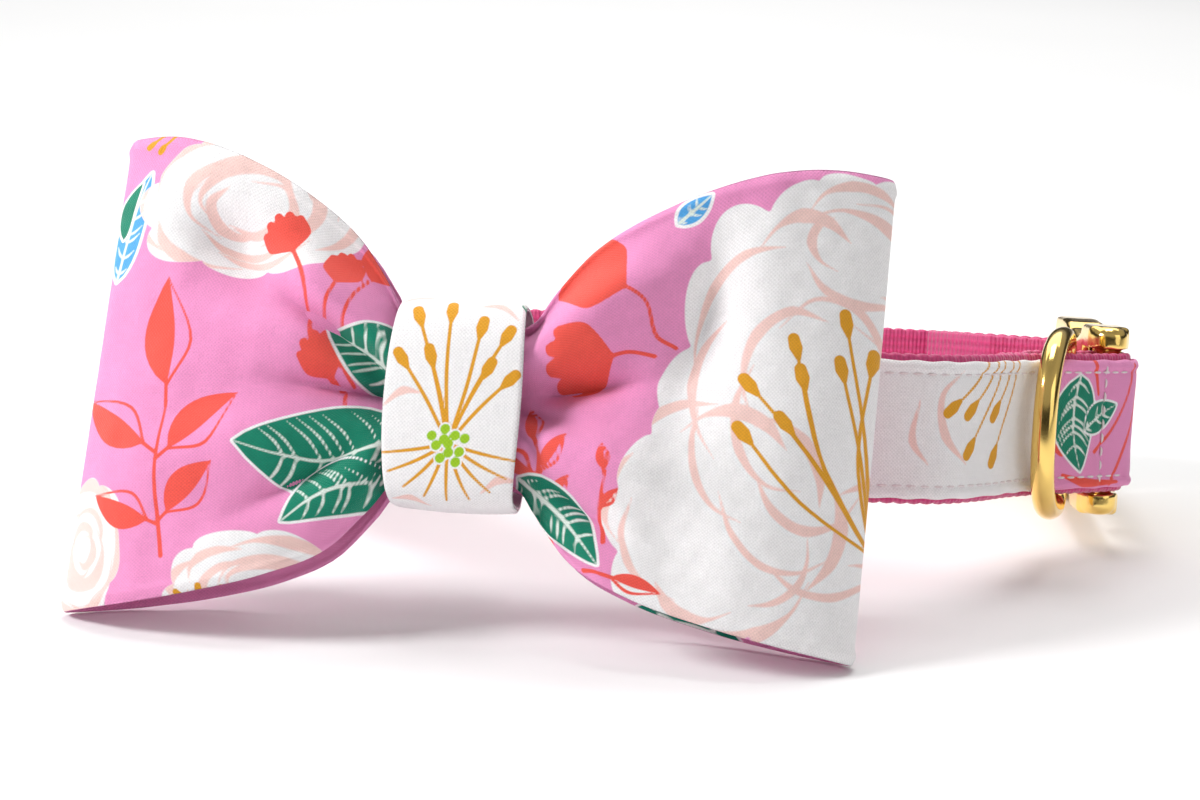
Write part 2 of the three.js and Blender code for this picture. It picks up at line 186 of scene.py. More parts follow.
class Cloth:
    """Ink fields over the cloth points (x, y)."""

    def __init__(self, x, y):
        self.x, self.y = np.ravel(x), np.ravel(y)
        self.ink = {name: np.full(self.x.size, FAR, np.float32) for name in INKS}

    def near(self, line, reach):
        lo, hi = line.min(0) - reach, line.max(0) + reach
        return np.nonzero((self.x > lo[0]) & (self.x < hi[0]) & (self.y > lo[1]) & (self.y < hi[1]))[0]

    def stroke(self, ink, points, widths, fine=6):
        """A brush line through points, its half-width running through widths."""
        line = curve_through(points, fine)
        half = np.interp(np.linspace(0, 1, len(line)), np.linspace(0, 1, len(widths)), widths)
        at = self.near(line, max(widths) + 1.5)
        if not at.size:
            return
        x, y = self.x[at], self.y[at]
        best = np.full(at.size, FAR, float)
        for (ax, ay), (bx, by), ha, hb in zip(line, line[1:], half, half[1:]):
            dx, dy = bx - ax, by - ay
            along = np.clip(((x - ax) * dx + (y - ay) * dy) / (dx * dx + dy * dy + 1e-9), 0, 1)
            gap = np.hypot(x - ax - along * dx, y - ay - along * dy) - (ha + (hb - ha) * along)
            best = np.minimum(best, gap)
        self.ink[ink][at] = np.minimum(self.ink[ink][at], best)

    def blob(self, ink, outline, over=()):
        """A filled closed outline, with a clear rim round it in the inks that it lies over."""
        line = np.vstack([outline, outline[:1]])
        at = self.near(line, 2.0)
        if not at.size:
            return
        x, y = self.x[at], self.y[at]
        best = np.full(at.size, FAR, float)
        inside = np.zeros(at.size, bool)
        for (ax, ay), (bx, by) in zip(line, line[1:]):
            dx, dy = bx - ax, by - ay
            along = np.clip(((x - ax) * dx + (y - ay) * dy) / (dx * dx + dy * dy + 1e-9), 0, 1)
            best = np.minimum(best, np.hypot(x - ax - along * dx, y - ay - along * dy))
            if abs(dy) > 1e-9:
                crosses = (ay > y) != (by > y)
                inside ^= crosses & (x < dx * (y - ay) / dy + ax)
        signed = np.where(inside, -best, best)
        for under in over:
            self.ink[under][at] = np.maximum(self.ink[under][at], 0.45 - signed)
        self.ink[ink][at] = np.minimum(self.ink[ink][at], signed)

    # Whole motifs

    def peony(self, x, y, rx, ry, petals, seed, rings=(0.80, 0.54, 0.3)):
        """A ruffled bloom: a scalloped outline, with blush strokes that follow its petals."""
        rng = np.random.default_rng(seed)
        a = np.linspace(0, 2 * math.pi, 40 * petals // 2, endpoint=False)
        beat = np.abs(np.sin(a * petals / 2 + seed)) ** 0.6
        wobble = 0.05 * np.sin(3 * a + seed) + 0.03 * np.sin(7 * a + 2 * seed)
        r = 0.88 + 0.12 * beat + wobble
        self.blob("white", np.stack([x + rx * r * np.cos(a), y + ry * r * np.sin(a)], 1))
        for ring in rings:
            count = max(int(petals * ring), 3)
            for k in range(count):
                mid = 2 * math.pi * (k + 0.35 * rng.random()) / count + ring * 5
                sweep = np.linspace(-1, 1, 5) * (1.1 + 0.9 * rng.random()) * math.pi / count
                rr = ring + 0.06 * rng.standard_normal() + 0.10 * np.cos(np.linspace(-1.5, 1.5, 5))
                pts = np.stack([x + rx * rr * np.cos(mid + sweep), y + ry * rr * np.sin(mid + sweep)], 1)
                width = 0.45 + 0.6 * rng.random()
                self.stroke("blush", pts, (0.05, width, width * 1.25, 0.3, 0.05))

    def leaf(self, base, tip, width, veins=7, ink="green", bend=0.12):
        """A pointed leaf with a middle vein and side veins left white."""
        base, tip = np.array(base, float), np.array(tip, float)
        along = tip - base
        length = float(np.hypot(*along))
        side = np.array([-along[1], along[0]]) / length
        t = np.linspace(0, 1, 15)
        spine = base + t[:, None] * along + side * (bend * length * np.sin(math.pi * t))[:, None]
        half = width * np.sin(math.pi * np.clip(t, 0, 1) ** 0.8) ** 0.85
        outline = np.vstack([spine + side * half[:, None], (spine - side * half[:, None])[::-1]])
        self.blob(ink, outline, over=("green", "vein", "blue"))
        if not veins:
            return
        self.stroke("vein", spine[::2], (0.28, 0.24, 0.12), 2)
        for k in range(veins):
            at = 0.12 + 0.72 * k / veins
            start = spine[int(at * 14)]
            reach = np.interp(at, t, half)
            for hand in (-1, 1):
                end = start + along / length * reach * 0.75 + side * hand * reach * 0.86
                middle = (start + end) / 2 - along / length * reach * 0.12
                self.stroke("vein", [start, middle, end], (0.2, 0.24, 0.08), 3)

    def sprig(self, base, tip, leaves, ink="coral", width=0.3):
        """A stem with leaves: rows of (share along, hand, length, half-width, lean in radians)."""
        base, tip = np.array(base, float), np.array(tip, float)
        along = tip - base
        side = np.array([-along[1], along[0]]) / np.hypot(*along)
        mid = (base + tip) / 2 + side * 0.06 * np.hypot(*along)
        self.stroke(ink, [base, mid, tip], (width * 1.3, width, width * 0.7))
        for share, hand, length, half, lean in leaves:
            start = base + along * share + side * 0.06 * np.hypot(*along) * math.sin(math.pi * share)
            way = along / np.hypot(*along) * math.cos(lean) + side * hand * math.sin(lean)
            end = start + way * length
            cross = np.array([-way[1], way[0]])
            t = np.linspace(0, 1, 12)
            body = start + way * (length * (0.16 + 0.84 * t))[:, None]
            swell = half * np.sin(math.pi * t**0.85) ** 0.9
            self.stroke(ink, [start, start + way * length * 0.2], (width, width))
            upper, lower = body + cross * swell[:, None], body - cross * (swell * 0.25)[:, None]
            self.blob(ink, np.vstack([upper, lower[::-1]]))
            rib = [start + way * length * 0.15, (start + end) / 2 - cross * half * 0.9, end]
            self.stroke(ink, rib, (0.22, 0.26, 0.12))

    def bud(self, stem, size, ink="coral"):
        """A small tulip on a curved stem; the flower is at the stem's last point."""
        self.stroke(ink, stem, (0.34, 0.3, 0.3))
        tip, before = np.array(stem[-1], float), np.array(stem[-2], float)
        way = (tip - before) / np.hypot(*(tip - before))
        cross = np.array([-way[1], way[0]])
        for spread, reach, half in BUD_PETALS:
            end = tip + (way * math.cos(spread) + cross * math.sin(spread)) * size * reach
            middle = (tip + end) / 2 + cross * spread * 0.25 * size
            self.stroke(ink, [tip - way * 0.1 * size, middle, end], (0.3, half * size, 0.12 * size))

    def stamens(self, root, anthers, bow=0.1, size=0.75):
        """Golden filaments from one root, each ending in a drop."""
        root = np.array(root, float)
        for k, anther in enumerate(anthers):
            end = np.array(anther, float)
            along = end - root
            side = np.array([-along[1], along[0]])
            mid = (root + end) / 2 + side * bow * (1 if k % 2 else -0.4)
            self.stroke("gold", [root, mid, end], (0.26, 0.3, 0.26))
            way = (end - mid) / np.hypot(*(end - mid))
            body = [end - way * 1.5 * size, end, end + way * 1.3 * size]
            self.stroke("gold", body, (0.4 * size, 0.95 * size, 0.85 * size))


BUD_PETALS = [  # spread in radians, length and half-width as shares of the bud's size
    (-0.62, 0.9, 0.24), (0.0, 1.05, 0.28), (0.62, 0.9, 0.24), (-0.3, 1.0, 0.26), (0.3, 1.0, 0.26),
]
KNOT_EYE = (-0.3, -7.5)
KNOT_ANTHERS = [
    (-6.5, 12.5), (-1.5, 13.5), (3.5, 11.0), (7.5, 10.0), (-8.5, 5.5), (5.0, 4.5), (-4.0, 6.0), (8.5, 3.0),
]
STRAP_STAMENS = [  # x and y of the root, then of the anther
    (41, 11.6, 49.5, 4.0), (38, 11.6, 45.0, 3.6), (36, 11.6, 45.0, -3.0),
    (33, 11.6, 38.0, 3.2), (31, 11.6, 38.0, -4.6),
]
LEFT_SPRIG = [  # share of the stem, hand, length, half-width, lean in radians
    (0.97, 1, 21.0, 4.2, 0.02), (0.66, 1, 16.5, 3.7, 0.95), (0.62, -1, 16.5, 3.7, 0.90),
    (0.20, 1, 12.0, 3.2, 1.15), (0.22, -1, 13.0, 3.3, 0.75),
]
RIGHT_SPRIG = [
    (0.95, 1, 7.0, 1.5, 0.1), (0.7, 1, 7.0, 1.5, 0.8), (0.7, -1, 7.5, 1.5, 0.8),
    (0.4, 1, 7.0, 1.4, 0.9), (0.4, -1, 7.0, 1.4, 0.9),
]


def print_left_lobe(c):
    c.peony(-35.5, 29.5, 19.0, 12.5, 9, 3)
    c.peony(-58.5, -27.0, 7.5, 11.5, 7, 5)
    c.peony(-27.0, -32.0, 17.5, 9.5, 9, 8)
    c.stamens((-36.0, -39.5), [(-41.0, -33.5), (-38.0, -32.5), (-34.5, -32.6)], size=0.6)
    c.stamens((-49.0, 43.0), [(-53.5, 39.6), (-51.5, 38.8)], size=0.6)
    c.leaf((-58.0, 17.0), (-53.0, 34.5), 2.6, veins=6, ink="blue", bend=0.02)
    c.leaf((-57.5, 24.0), (-54.5, 33.0), 1.5, veins=0)
    c.sprig((-44.5, -27.5), (-46.0, -3.0), LEFT_SPRIG)
    c.leaf((-8.0, 1.0), (-21.5, 9.5), 4.6, veins=6, bend=-0.1)
    c.leaf((-8.0, -6.0), (-34.0, -9.0), 7.4, veins=8, bend=0.12)
    c.leaf((-9.0, -13.0), (-26.0, -21.0), 4.0, veins=6, bend=-0.1)
    c.bud([(-19.0, 0.0), (-24.0, 9.0), (-25.0, 17.0), (-28.0, 22.5)], 5.6)
    c.bud([(-14.0, 1.0), (-18.5, 9.0), (-18.0, 15.0), (-15.5, 19.0)], 5.2)
    c.bud([(-17.0, 2.0), (-21.5, 10.0), (-21.5, 14.0), (-20.5, 17.5)], 4.6)
    c.bud([(-17.5, -5.0), (-18.5, 0.0), (-20.5, 3.5)], 5.4)


def print_right_lobe(c):
    c.peony(62.0, 29.0, 15.0, 12.5, 9, 6, (0.6,))
    c.peony(42.5, -16.0, 18.5, 19.5, 11, 9, (0.84,))
    c.peony(56.0, 3.0, 25.5, 34.5, 14, 2, (0.72, 0.42))
    c.peony(60.0, -24.0, 17.0, 15.0, 9, 12, ())
    c.peony(24.0, -33.0, 6.0, 4.5, 6, 4)
    c.leaf((33.0, 29.6), (38.0, 34.8), 1.6, veins=3, ink="blue", bend=0.0)
    c.bud([(33.5, 10.5), (30.5, 12.0), (28.5, 17.0), (24.5, 19.0)], 9.6)
    c.bud([(30.5, 8.8), (26.5, 9.4), (23.0, 8.4)], 8.2)
    c.sprig((16.5, -22.0), (13.5, -6.0), RIGHT_SPRIG)
    c.sprig((24.5, -21.0), (24.5, -10.0), [(0.95, 1, 4.5, 1.0, 0.2), (0.5, -1, 4.0, 0.9, 0.7)])
    c.leaf((10.5, -11.0), (24.0, -24.5), 3.4, veins=7, bend=0.04)
    c.sprig((22.0, -25.5), (25.0, -26.0), [(0.9, -1, 9.5, 1.5, 0.1)])
    anthers = [
        (45.8, 4.6), (52.3, 11.4), (60.0, 16.2), (45.2, -3.0),
        (51.4, -1.0), (53.6, 6.6), (59.6, 8.8), (64.4, 10.6),
    ]
    c.stamens((65.5, -19.5), anthers, bow=0.07, size=1.12)


def print_inside(c):
    """Inner faces of the lobes, seen only through their openings."""
    for hand in (-1, 1):
        c.leaf((hand * 26, -33), (hand * 48, -36), 4.0, veins=8)
        c.sprig((hand * 40, -20), (hand * 40, 22), LEFT_SPRIG)
        c.peony(hand * 54, 30, 14, 10, 8, 11 + hand)


def print_back(c):
    for hand in (-1, 1):
        c.peony(hand * 46, 20, 20, 15, 10, 21 + hand)
        c.leaf((hand * 22, -6), (hand * 44, -24), 6.0, veins=8)
        c.sprig((hand * 54, -34), (hand * 52, 0), LEFT_SPRIG)
        c.bud([(hand * 18, 4), (hand * 24, 12), (hand * 22, 20)], 5)
        turns = (-1, -0.4, 0.3, 1)
        anthers = [(hand * (46 + 9 * math.sin(k)), 21 + 5 * math.cos(k)) for k in turns]
        c.stamens((hand * 46, 12), anthers)


def print_knot(c):
    """x across the knot, y round it from the middle of its front."""
    c.blob("white", np.array([(-14, -36), (14, -36), (14, 36), (-14, 36)], float))
    c.leaf((9.0, 17.5), (14.0, 15.0), 2.2, veins=2)
    for k, anther in enumerate(KNOT_ANTHERS):
        c.stamens(KNOT_EYE, [anther], bow=0.05 * (-1) ** k, size=1.0)
    for a in np.linspace(-2.9, -0.25, 9):
        middle = (KNOT_EYE[0] + 5.5 * math.cos(a), KNOT_EYE[1] + 5 * math.sin(a))
        end = (KNOT_EYE[0] + 11 * math.cos(a), KNOT_EYE[1] + 9 * math.sin(a))
        c.stroke("gold", [KNOT_EYE, middle, end], (0.27, 0.27, 0.18))
    for k in range(11):
        a, r = k * 2.4, 0.95 * math.sqrt(k)
        x, y = KNOT_EYE[0] + r * math.cos(a), KNOT_EYE[1] + r * math.sin(a)
        c.stroke("lime", [(x, y), (x + 0.1, y + 0.1)], (0.72, 0.72))
    for x, y, turn in ((-7, 16, 0.3), (6, 14, -0.5), (-8, -1, 0.6), (8, -14, 0.4), (-6, -18, -0.3)):
        c.stroke("blush", [(x - 3, y - 2 * turn), (x, y + 1.4), (x + 3, y + 2 * turn)], (0.1, 0.7, 0.1))


def print_strap(c):
    """x along the strap from the folded end, y across it."""
    end = STRAP_LENGTH + 20
    c.blob("white", np.array([(24.5, -14), (end, -14), (end, 14), (23, 14)], float))
    c.leaf((13.5, 9.0), (12.0, -8.5), 5.2, veins=7, bend=0.1)
    c.leaf((11.5, -1.0), (3.2, 3.6), 2.6, veins=3, bend=-0.05)
    c.stroke("coral", [(8.5, -5.0), (4.0, -1.0), (0.5, 4.5), (-1.0, 11.0)], (0.4, 0.34, 0.3, 0.3))
    c.stroke("coral", [(4.0, -11.0), (0.0, -4.0), (-2.5, 3.0), (-3.0, 10.0)], (0.4, 0.36, 0.3, 0.3))
    c.stroke("coral", [(16.5, -9.0), (11.0, -10.5), (2.0, -10.6)], (0.3, 0.9, 0.3))
    c.stroke("coral", [(20.5, -3.5), (17.0, -4.2)], (0.3, 1.5))
    c.stroke("coral", [(8.5, 5.5), (10.0, 11.5)], (0.3, 0.5))
    for x, y, end_x, end_y in STRAP_STAMENS:
        c.stamens((x, y), [(end_x, end_y)], bow=0.06, size=1.15)
    rng = np.random.default_rng(7)
    for k in range(int(STRAP_LENGTH / 17)):
        x = 44 + 17 * k + 3 * rng.random()
        y = 4 * rng.standard_normal()
        flip = 1 if k % 2 else -1
        sweep = [(x, y + 7 * flip), (x + 5, y + 2 * flip), (x + 6, y - 5 * flip), (x + 2, y - 9 * flip)]
        c.stroke("blush", sweep, (0.1, 0.9, 0.5, 0.1))
        c.stroke("blush", [(x + 8, y - 7), (x + 11, y - 3), (x + 10, y + 4)], (0.1, 0.7, 0.1))
        if k > 3 and k % 4 == 1:
            c.leaf((x, -7), (x + 15, 4), 4.4, veins=7)
            c.bud([(x + 20, -9), (x + 23, -3), (x + 22, 2)], 4.5)
        elif k > 3 and k % 4 == 3:
            c.stamens((x + 4, -11), [(x - 1, 1), (x + 3, 3), (x + 7, 2)])


# ---- Meshes ----

def mesh_object(name, points, faces, material, inks=None, cloth=None):
    me = bpy.data.meshes.new(name)
    me.from_pydata(np.asarray(points).tolist(), [], faces)
    me.polygons.foreach_set("use_smooth", np.ones(len(me.polygons), bool))
    if inks:
        for key, values in inks.items():
            me.attributes.new("ink_" + key, "FLOAT", "POINT").data.foreach_set("value", values)
    if cloth is not None:
        me.attributes.new("cloth", "FLOAT_VECTOR", "POINT").data.foreach_set(
            "vector", np.column_stack([cloth, np.zeros(len(cloth))]).astype(np.float32).ravel()
        )
    me.materials.append(material)
    me.validate()
    ob = bpy.data.objects.new(name, me)
    bpy.context.collection.objects.link(ob)
    return ob


def strip_faces(a, b, wrap=False):
    """Quads between two index lists of the same length."""
    n = len(a) if wrap else len(a) - 1
    m = len(a)
    return [(a[i], a[(i + 1) % m], b[(i + 1) % m], b[i]) for i in range(n)]


def grid_faces(rows, wrap_rows=False, wrap_columns=False, start=0, columns=None):
    """Quads over a grid whose points are numbered row by row."""
    index = np.arange(rows * columns).reshape(rows, columns) + start
    down = np.roll(index, -1, 0) if wrap_rows else index[1:]
    index = index if wrap_rows else index[:-1]
    if wrap_columns:
        right, down_right = np.roll(index, -1, 1), np.roll(down, -1, 1)
    else:
        right, down_right = index[:, 1:], down[:, 1:]
        index, down = index[:, :-1], down[:, :-1]
    return np.stack([index, right, down_right, down], -1).reshape(-1, 4).tolist()


def closed_faces(rows, columns):
    """Quads over a grid that closes on itself both ways."""
    return grid_faces(rows, wrap_rows=True, wrap_columns=True, columns=columns)


def loop_normals(route):
    """Outward side of a closed flat route."""
    d = np.roll(route, -1, 0) - np.roll(route, 1, 0)
    return np.stack([d[:, 1], -d[:, 0]], 1) / np.linalg.norm(d, axis=1, keepdims=True)


def grid_normals(p, wrap=False):
    """Normals of a grid of points, along its rows and columns."""
    if wrap:
        along = np.roll(p, -1, 0) - np.roll(p, 1, 0)
    else:
        along = np.gradient(p, axis=0)
    across = np.gradient(p, axis=1)
    n = np.cross(along, across)
    return n / np.maximum(np.linalg.norm(n, axis=-1, keepdims=True), 1e-12)


def ripple(u, w, seed, size):
    """Soft uneven waves of cloth, about one millimetre high at amount 1."""
    rng = np.random.default_rng(seed)
    out = np.zeros_like(u)
    for _ in range(7):
        a = rng.random() * math.tau
        k = math.tau / (size * (0.7 + rng.random()))
        out += np.sin(k * (u * math.cos(a) + w * math.sin(a)) + rng.random() * math.tau)
    return out / 4


row_share = np.array([r["share"] for r in LOBE_ROWS])
row_top = np.array([r["top"] for r in LOBE_ROWS])
row_bottom = np.array([r["bottom"] for r in LOBE_ROWS])


def soft_interp(x, xs, ys):
    """Smooth monotone interpolation through table rows."""
    slopes = np.diff(ys) / np.diff(xs)
    m = np.concatenate([[slopes[0]], (slopes[1:] + slopes[:-1]) / 2, [slopes[-1]]])
    flat = slopes[1:] * slopes[:-1] <= 0
    m[1:-1][flat] = 0
    k = np.clip(np.searchsorted(xs, x) - 1, 0, len(slopes) - 1)
    h = xs[k + 1] - xs[k]
    t = (x - xs[k]) / h
    return (
        (1 + 2 * t) * (1 - t) ** 2 * ys[k] + t * (1 - t) ** 2 * h * m[k]
        + t * t * (3 - 2 * t) * ys[k + 1] + t * t * (t - 1) * h * m[k + 1]
    )


DENTS = [  # hand, u, w, radius across, radius up, depth (+ is out), turn in degrees
    (-1, -37.0, 22.5, 9.0, 5.4, -5.4, -28),
    (-1, -49.0, 27.0, 8.0, 9.0, 1.9, 0),
    (-1, -24.0, 17.5, 9.0, 3.4, 2.9, -38),
    (-1, -19.0, 9.0, 10.0, 2.1, -3.4, -32),
    (-1, -27.0, 8.5, 12.0, 3.4, 2.4, -12),
    (-1, -19.0, 1.0, 9.0, 1.8, -3.1, -2),
    (-1, -29.0, -7.0, 15.0, 5.5, 2.9, 12),
    (-1, -22.0, -13.0, 11.0, 2.2, -2.6, 32),
    (-1, -52.0, -12.0, 9.0, 16.0, 1.4, 0),
    (1, 38.0, 14.0, 5.0, 15.0, -4.8, -12),
    (1, 22.0, 15.5, 11.0, 4.4, 3.4, 38),
    (1, 19.0, 3.0, 9.0, 2.0, -3.8, 10),
    (1, 20.0, 8.5, 8.0, 2.4, 1.9, 26),
    (1, 27.0, -9.0, 12.0, 4.6, 3.1, -18),
    (1, 20.0, -15.0, 9.0, 2.0, -2.6, -36),
    (1, 52.0, -4.0, 11.0, 20.0, 2.2, 0),
    (1, 45.0, 27.0, 9.0, 8.0, 1.9, 20),
    (1, 36.0, -22.0, 6.0, 10.0, -1.9, 20),
]


def lobe_middle(hand, layer, share, high):
    """Middle of the cloth of a lobe in bow coordinates, with its folds and dents."""
    reach = END_REACH[hand]
    top = soft_interp(share, row_share, row_top)
    bottom = soft_interp(share, row_share, row_bottom)
    closing = np.sqrt(np.clip(1 - share ** BOW["squareness"], 0, 1))
    swelling = np.sin(math.pi * np.clip((share - 0.15) / 0.85, 0, 1))
    fade = 1 - smooth(share, 0.1, FOLD["reach"])
    drift = 0.16 * hand * smooth(share, 0.1, 0.5)
    wave = -np.cos(2 * math.pi * (high - drift)) * fade
    front = (BOW["front"] + BOW["front_swell"] * swelling) * closing + FOLD["front"] * wave
    back = (BOW["back"] + BOW["back_swell"] * swelling) * closing + FOLD["back"] * wave
    u = hand * share * (reach["mid"] + reach["rake"] * high)
    w = np.where(high > 0, high * top, high * bottom)
    edge_free = smooth(share, 0.2, 0.34) * smooth(1 - share, 0.0, 0.12)
    if layer > 0:
        for side, du, dw, ru, rw, depth, turn in DENTS:
            if side != hand:
                continue
            c, s = math.cos(math.radians(turn)), math.sin(math.radians(turn))
            a, b = ((u - du) * c + (w - dw) * s) / ru, ((dw - w) * -c + (du - u) * s) / rw
            held = smooth(share, 0.15, 0.24) * smooth(1 - share, 0.0, 0.1)
            front = front + depth * np.exp(-(a * a + b * b)) * held
    t = front if layer > 0 else -back
    t = t + 0.42 * ripple(u, w, 40 + hand + layer, 17.0) * edge_free
    t = t + 0.11 * ripple(u, w, 50 + hand + layer, 5.5) * smooth(share, 0.14, 0.2)
    by_waist = (1 - smooth(share, 0.16, 0.42)) * smooth(share, 0.1, 0.17)
    gathers = np.sin(high * 15.0 + 1.5 * np.sin(high * 5 + hand)) * by_waist
    return u, w, t + 0.62 * gathers * layer


def lobe(hand, name, material):
    """One lobe: a closed cloth wall from the waist's front round the end to the waist's back."""
    fine = 0.30 * ROUGH_LOOK
    reach = END_REACH[hand]["mid"]
    near_end = np.sin(np.linspace(0, math.pi / 2, int(reach * 0.93 / fine))) ** 0.82
    front_share = 0.08 + 0.92 * near_end
    back_share = 0.08 + 0.92 * np.sin(np.linspace(0, math.pi / 2, int(reach / 0.95))) ** 0.82
    shares = np.concatenate([front_share, back_share[::-1][1:]])
    layers = np.concatenate([np.ones(len(front_share)), -np.ones(len(back_share) - 1)])
    highs = np.linspace(-1, 1, int(76 / fine))
    edge = 1 - np.geomspace(0.004, 0.28, 15)
    inner_highs = np.concatenate([-1 * np.ones(1), -edge, np.linspace(-0.6, 0.6, 9), edge[::-1], np.ones(1)])

    def surface(high_values, out):
        share, high = np.meshgrid(shares, high_values, indexing="ij")
        layer = np.repeat(layers[:, None], len(high_values), 1)
        fu, fw, ft = lobe_middle(hand, 1, share, high)
        _, _, bt = lobe_middle(hand, -1, share, high)
        t = np.where(layer > 0, ft, bt)
        middle = np.stack([fu, fw, t], -1)
        normal = grid_normals(middle) * hand
        rim = np.sqrt(np.clip(1 - ((np.abs(high) - 0.965) / 0.035).clip(0, 1) ** 2, 0, 1))
        half = BOW["wall"] / 2 * (0.25 + 0.75 * rim)
        puff = 0.28 * ridge(np.abs(high), 0.955, 0.022)
        return middle + normal * ((half + puff * out) * out)[..., None], fu, fw, layer

    outer, u, w, layer = surface(highs, 1)
    inner, iu, iw, ilayer = surface(inner_highs, -1)
    n, m, k = len(shares), len(highs), len(inner_highs)
    # The cloth's own coordinates run on round the end fold.
    run = run_along(outer[:, m // 2])
    bend = len(front_share) - 1
    across = hand * (run[bend] + abs(u[0, m // 2]) - np.abs(run - run[bend]))

    def inks_on(uu, ww, lay, inside):
        front, back = Cloth(uu, ww), Cloth(uu, ww)
        if inside:
            print_inside(front)
            return front.ink
        (print_left_lobe if hand < 0 else print_right_lobe)(front)
        print_back(back)
        pick = (lay.ravel() > 0) | (np.abs(uu.ravel()) > reach - 2.5)
        return {key: np.where(pick, front.ink[key], back.ink[key]).astype(np.float32) for key in INKS}

    outer_ink = inks_on(u, w, layer, False)
    inner_ink = inks_on(iu, iw, ilayer, True)
    points = np.vstack([bow_to_row(*outer.reshape(-1, 3).T), bow_to_row(*inner.reshape(-1, 3).T)])
    ink = {key: np.concatenate([outer_ink[key], inner_ink[key]]) for key in INKS}
    cloth = np.vstack([
        np.stack([np.repeat(across, m), (highs * 39)[None].repeat(n, 0).ravel()], 1),
        np.stack([np.repeat(across, k), (inner_highs * 39)[None].repeat(n, 0).ravel()], 1),
    ])
    faces = grid_faces(n, columns=m) + [f[::-1] for f in grid_faces(n, columns=k, start=n * m)]
    outer_at = np.arange(n * m).reshape(n, m)
    inner_at = np.arange(n * k).reshape(n, k) + n * m
    faces += [f[::-1] for f in strip_faces(outer_at[:, 0].tolist(), inner_at[:, 0].tolist())]
    faces += strip_faces(outer_at[:, -1].tolist(), inner_at[:, -1].tolist())
    faces.append(outer_at[0].tolist() + inner_at[0][::-1].tolist())
    faces.append(outer_at[-1][::-1].tolist() + inner_at[-1].tolist())
    if hand < 0:
        faces = [f[::-1] for f in faces]
    return mesh_object(name, points, faces, material, ink, cloth)


def knot_piece(material):
    around, across = int(300 / ROUGH_LOOK), int(74 / ROUGH_LOOK)
    a = np.linspace(0, math.tau, around, endpoint=False)
    power = 2 / 3.4
    mid, depth = (KNOT["front"] + KNOT["back"]) / 2, (KNOT["front"] - KNOT["back"]) / 2
    t = mid + depth * np.sign(np.cos(a)) * np.abs(np.cos(a)) ** power
    w = KNOT["top"] * np.sign(np.sin(a)) * np.abs(np.sin(a)) ** power
    # Even steps round the outline.
    loop = np.stack([t, w], 1)
    closed = np.vstack([loop, loop[:1]])
    run = run_along(closed)
    even = np.linspace(0, run[-1], around, endpoint=False)
    t, w = (np.interp(even, run, closed[:, j]) for j in (0, 1))
    length = run[-1]
    arc = np.where(even > length / 2, even - length, even)

    def surface(count, out):
        x = np.linspace(-1, 1, count)
        xx = np.repeat(x[None], around, 0)
        tt, ww, aa = (np.repeat(v[:, None], count, 1) for v in (t, w, arc))
        lean = 0.9 * np.cos(aa / 9.0)  # the left edge bows out more than the right
        half = 10.2 + 0.7 * np.cos(np.clip(aa / 17, -1, 1) * math.pi / 2) - 0.4 * (xx > 0)
        u = xx * half - 0.25 * lean * (xx < 0)
        crown = 0.5 * xx**2
        hem = 0.3 * ridge(np.abs(xx), 0.93, 0.05) - 0.16 * ridge(np.abs(xx), 0.82, 0.04)
        wave = np.sin(aa * 0.45 + 1.6 * np.sin(u * 0.3)) * ridge(u, 0, 7)
        dent = 0.16 * ripple(u, aa, 61, 9.0) + 0.156 * wave
        shrink = 1 - crown / KNOT["top"]
        middle = np.stack([u, ww * shrink, tt * shrink], -1)
        normal = grid_normals(middle, wrap=True)
        rim = np.sqrt(np.clip(1 - ((np.abs(xx) - 0.93) / 0.07).clip(0, 1) ** 2, 0, 1))
        thick = KNOT["wall"] / 2 * (0.3 + 0.7 * rim)
        lift = (hem + dent * smooth(tt, 0, 4)) * (1 if out > 0 else 0)
        return middle + normal * (thick * out + lift)[..., None], u, aa

    # The normals point into the knot, so its outer face lies against them and stays smooth.
    outer, u, aa = surface(across, -1)
    inner, iu, ia = surface(8, 1)
    art, plain = Cloth(u, aa), Cloth(iu, ia)
    print_knot(art)
    print_knot(plain)
    points = np.vstack([bow_to_row(*outer.reshape(-1, 3).T), bow_to_row(*inner.reshape(-1, 3).T)])
    ink = {key: np.concatenate([art.ink[key], plain.ink[key]]) for key in INKS}
    cloth = np.vstack([np.stack([u.ravel(), aa.ravel()], 1), np.stack([iu.ravel(), ia.ravel()], 1)])
    n = around
    outer_at = np.arange(n * across).reshape(n, across)
    inner_at = np.arange(n * 8).reshape(n, 8) + n * across
    faces = grid_faces(n, wrap_rows=True, columns=across)
    faces += [f[::-1] for f in grid_faces(n, wrap_rows=True, columns=8, start=n * across)]
    faces += [f[::-1] for f in strip_faces(outer_at[:, 0].tolist(), inner_at[:, 0].tolist(), True)]
    faces += strip_faces(outer_at[:, -1].tolist(), inner_at[:, -1].tolist(), True)
    return mesh_object("knot_band", points, faces, material, ink, cloth)


# ---- Strap lines ----

def fold_arc(s, radius, turn, steps):
    bar = strap_point(s, BAR_DEEP)
    out = strap_point(s, WEB_DEEP) - bar
    out /= np.hypot(*out)
    way = 1 if s < STRAP_LENGTH / 2 else -1
    angles = way * turn * np.arange(1, steps + 1) / (steps + 1)
    c, s_ = np.cos(angles), np.sin(angles)
    return bar + radius * np.stack([out[0] * c - out[1] * s_, out[0] * s_ + out[1] * c], 1)


def tail_deep(along):
    return WEB_DEEP + LAYERS + (CLOSED - LAYERS) * smooth(along, TAIL["open"], TAIL["shut"])


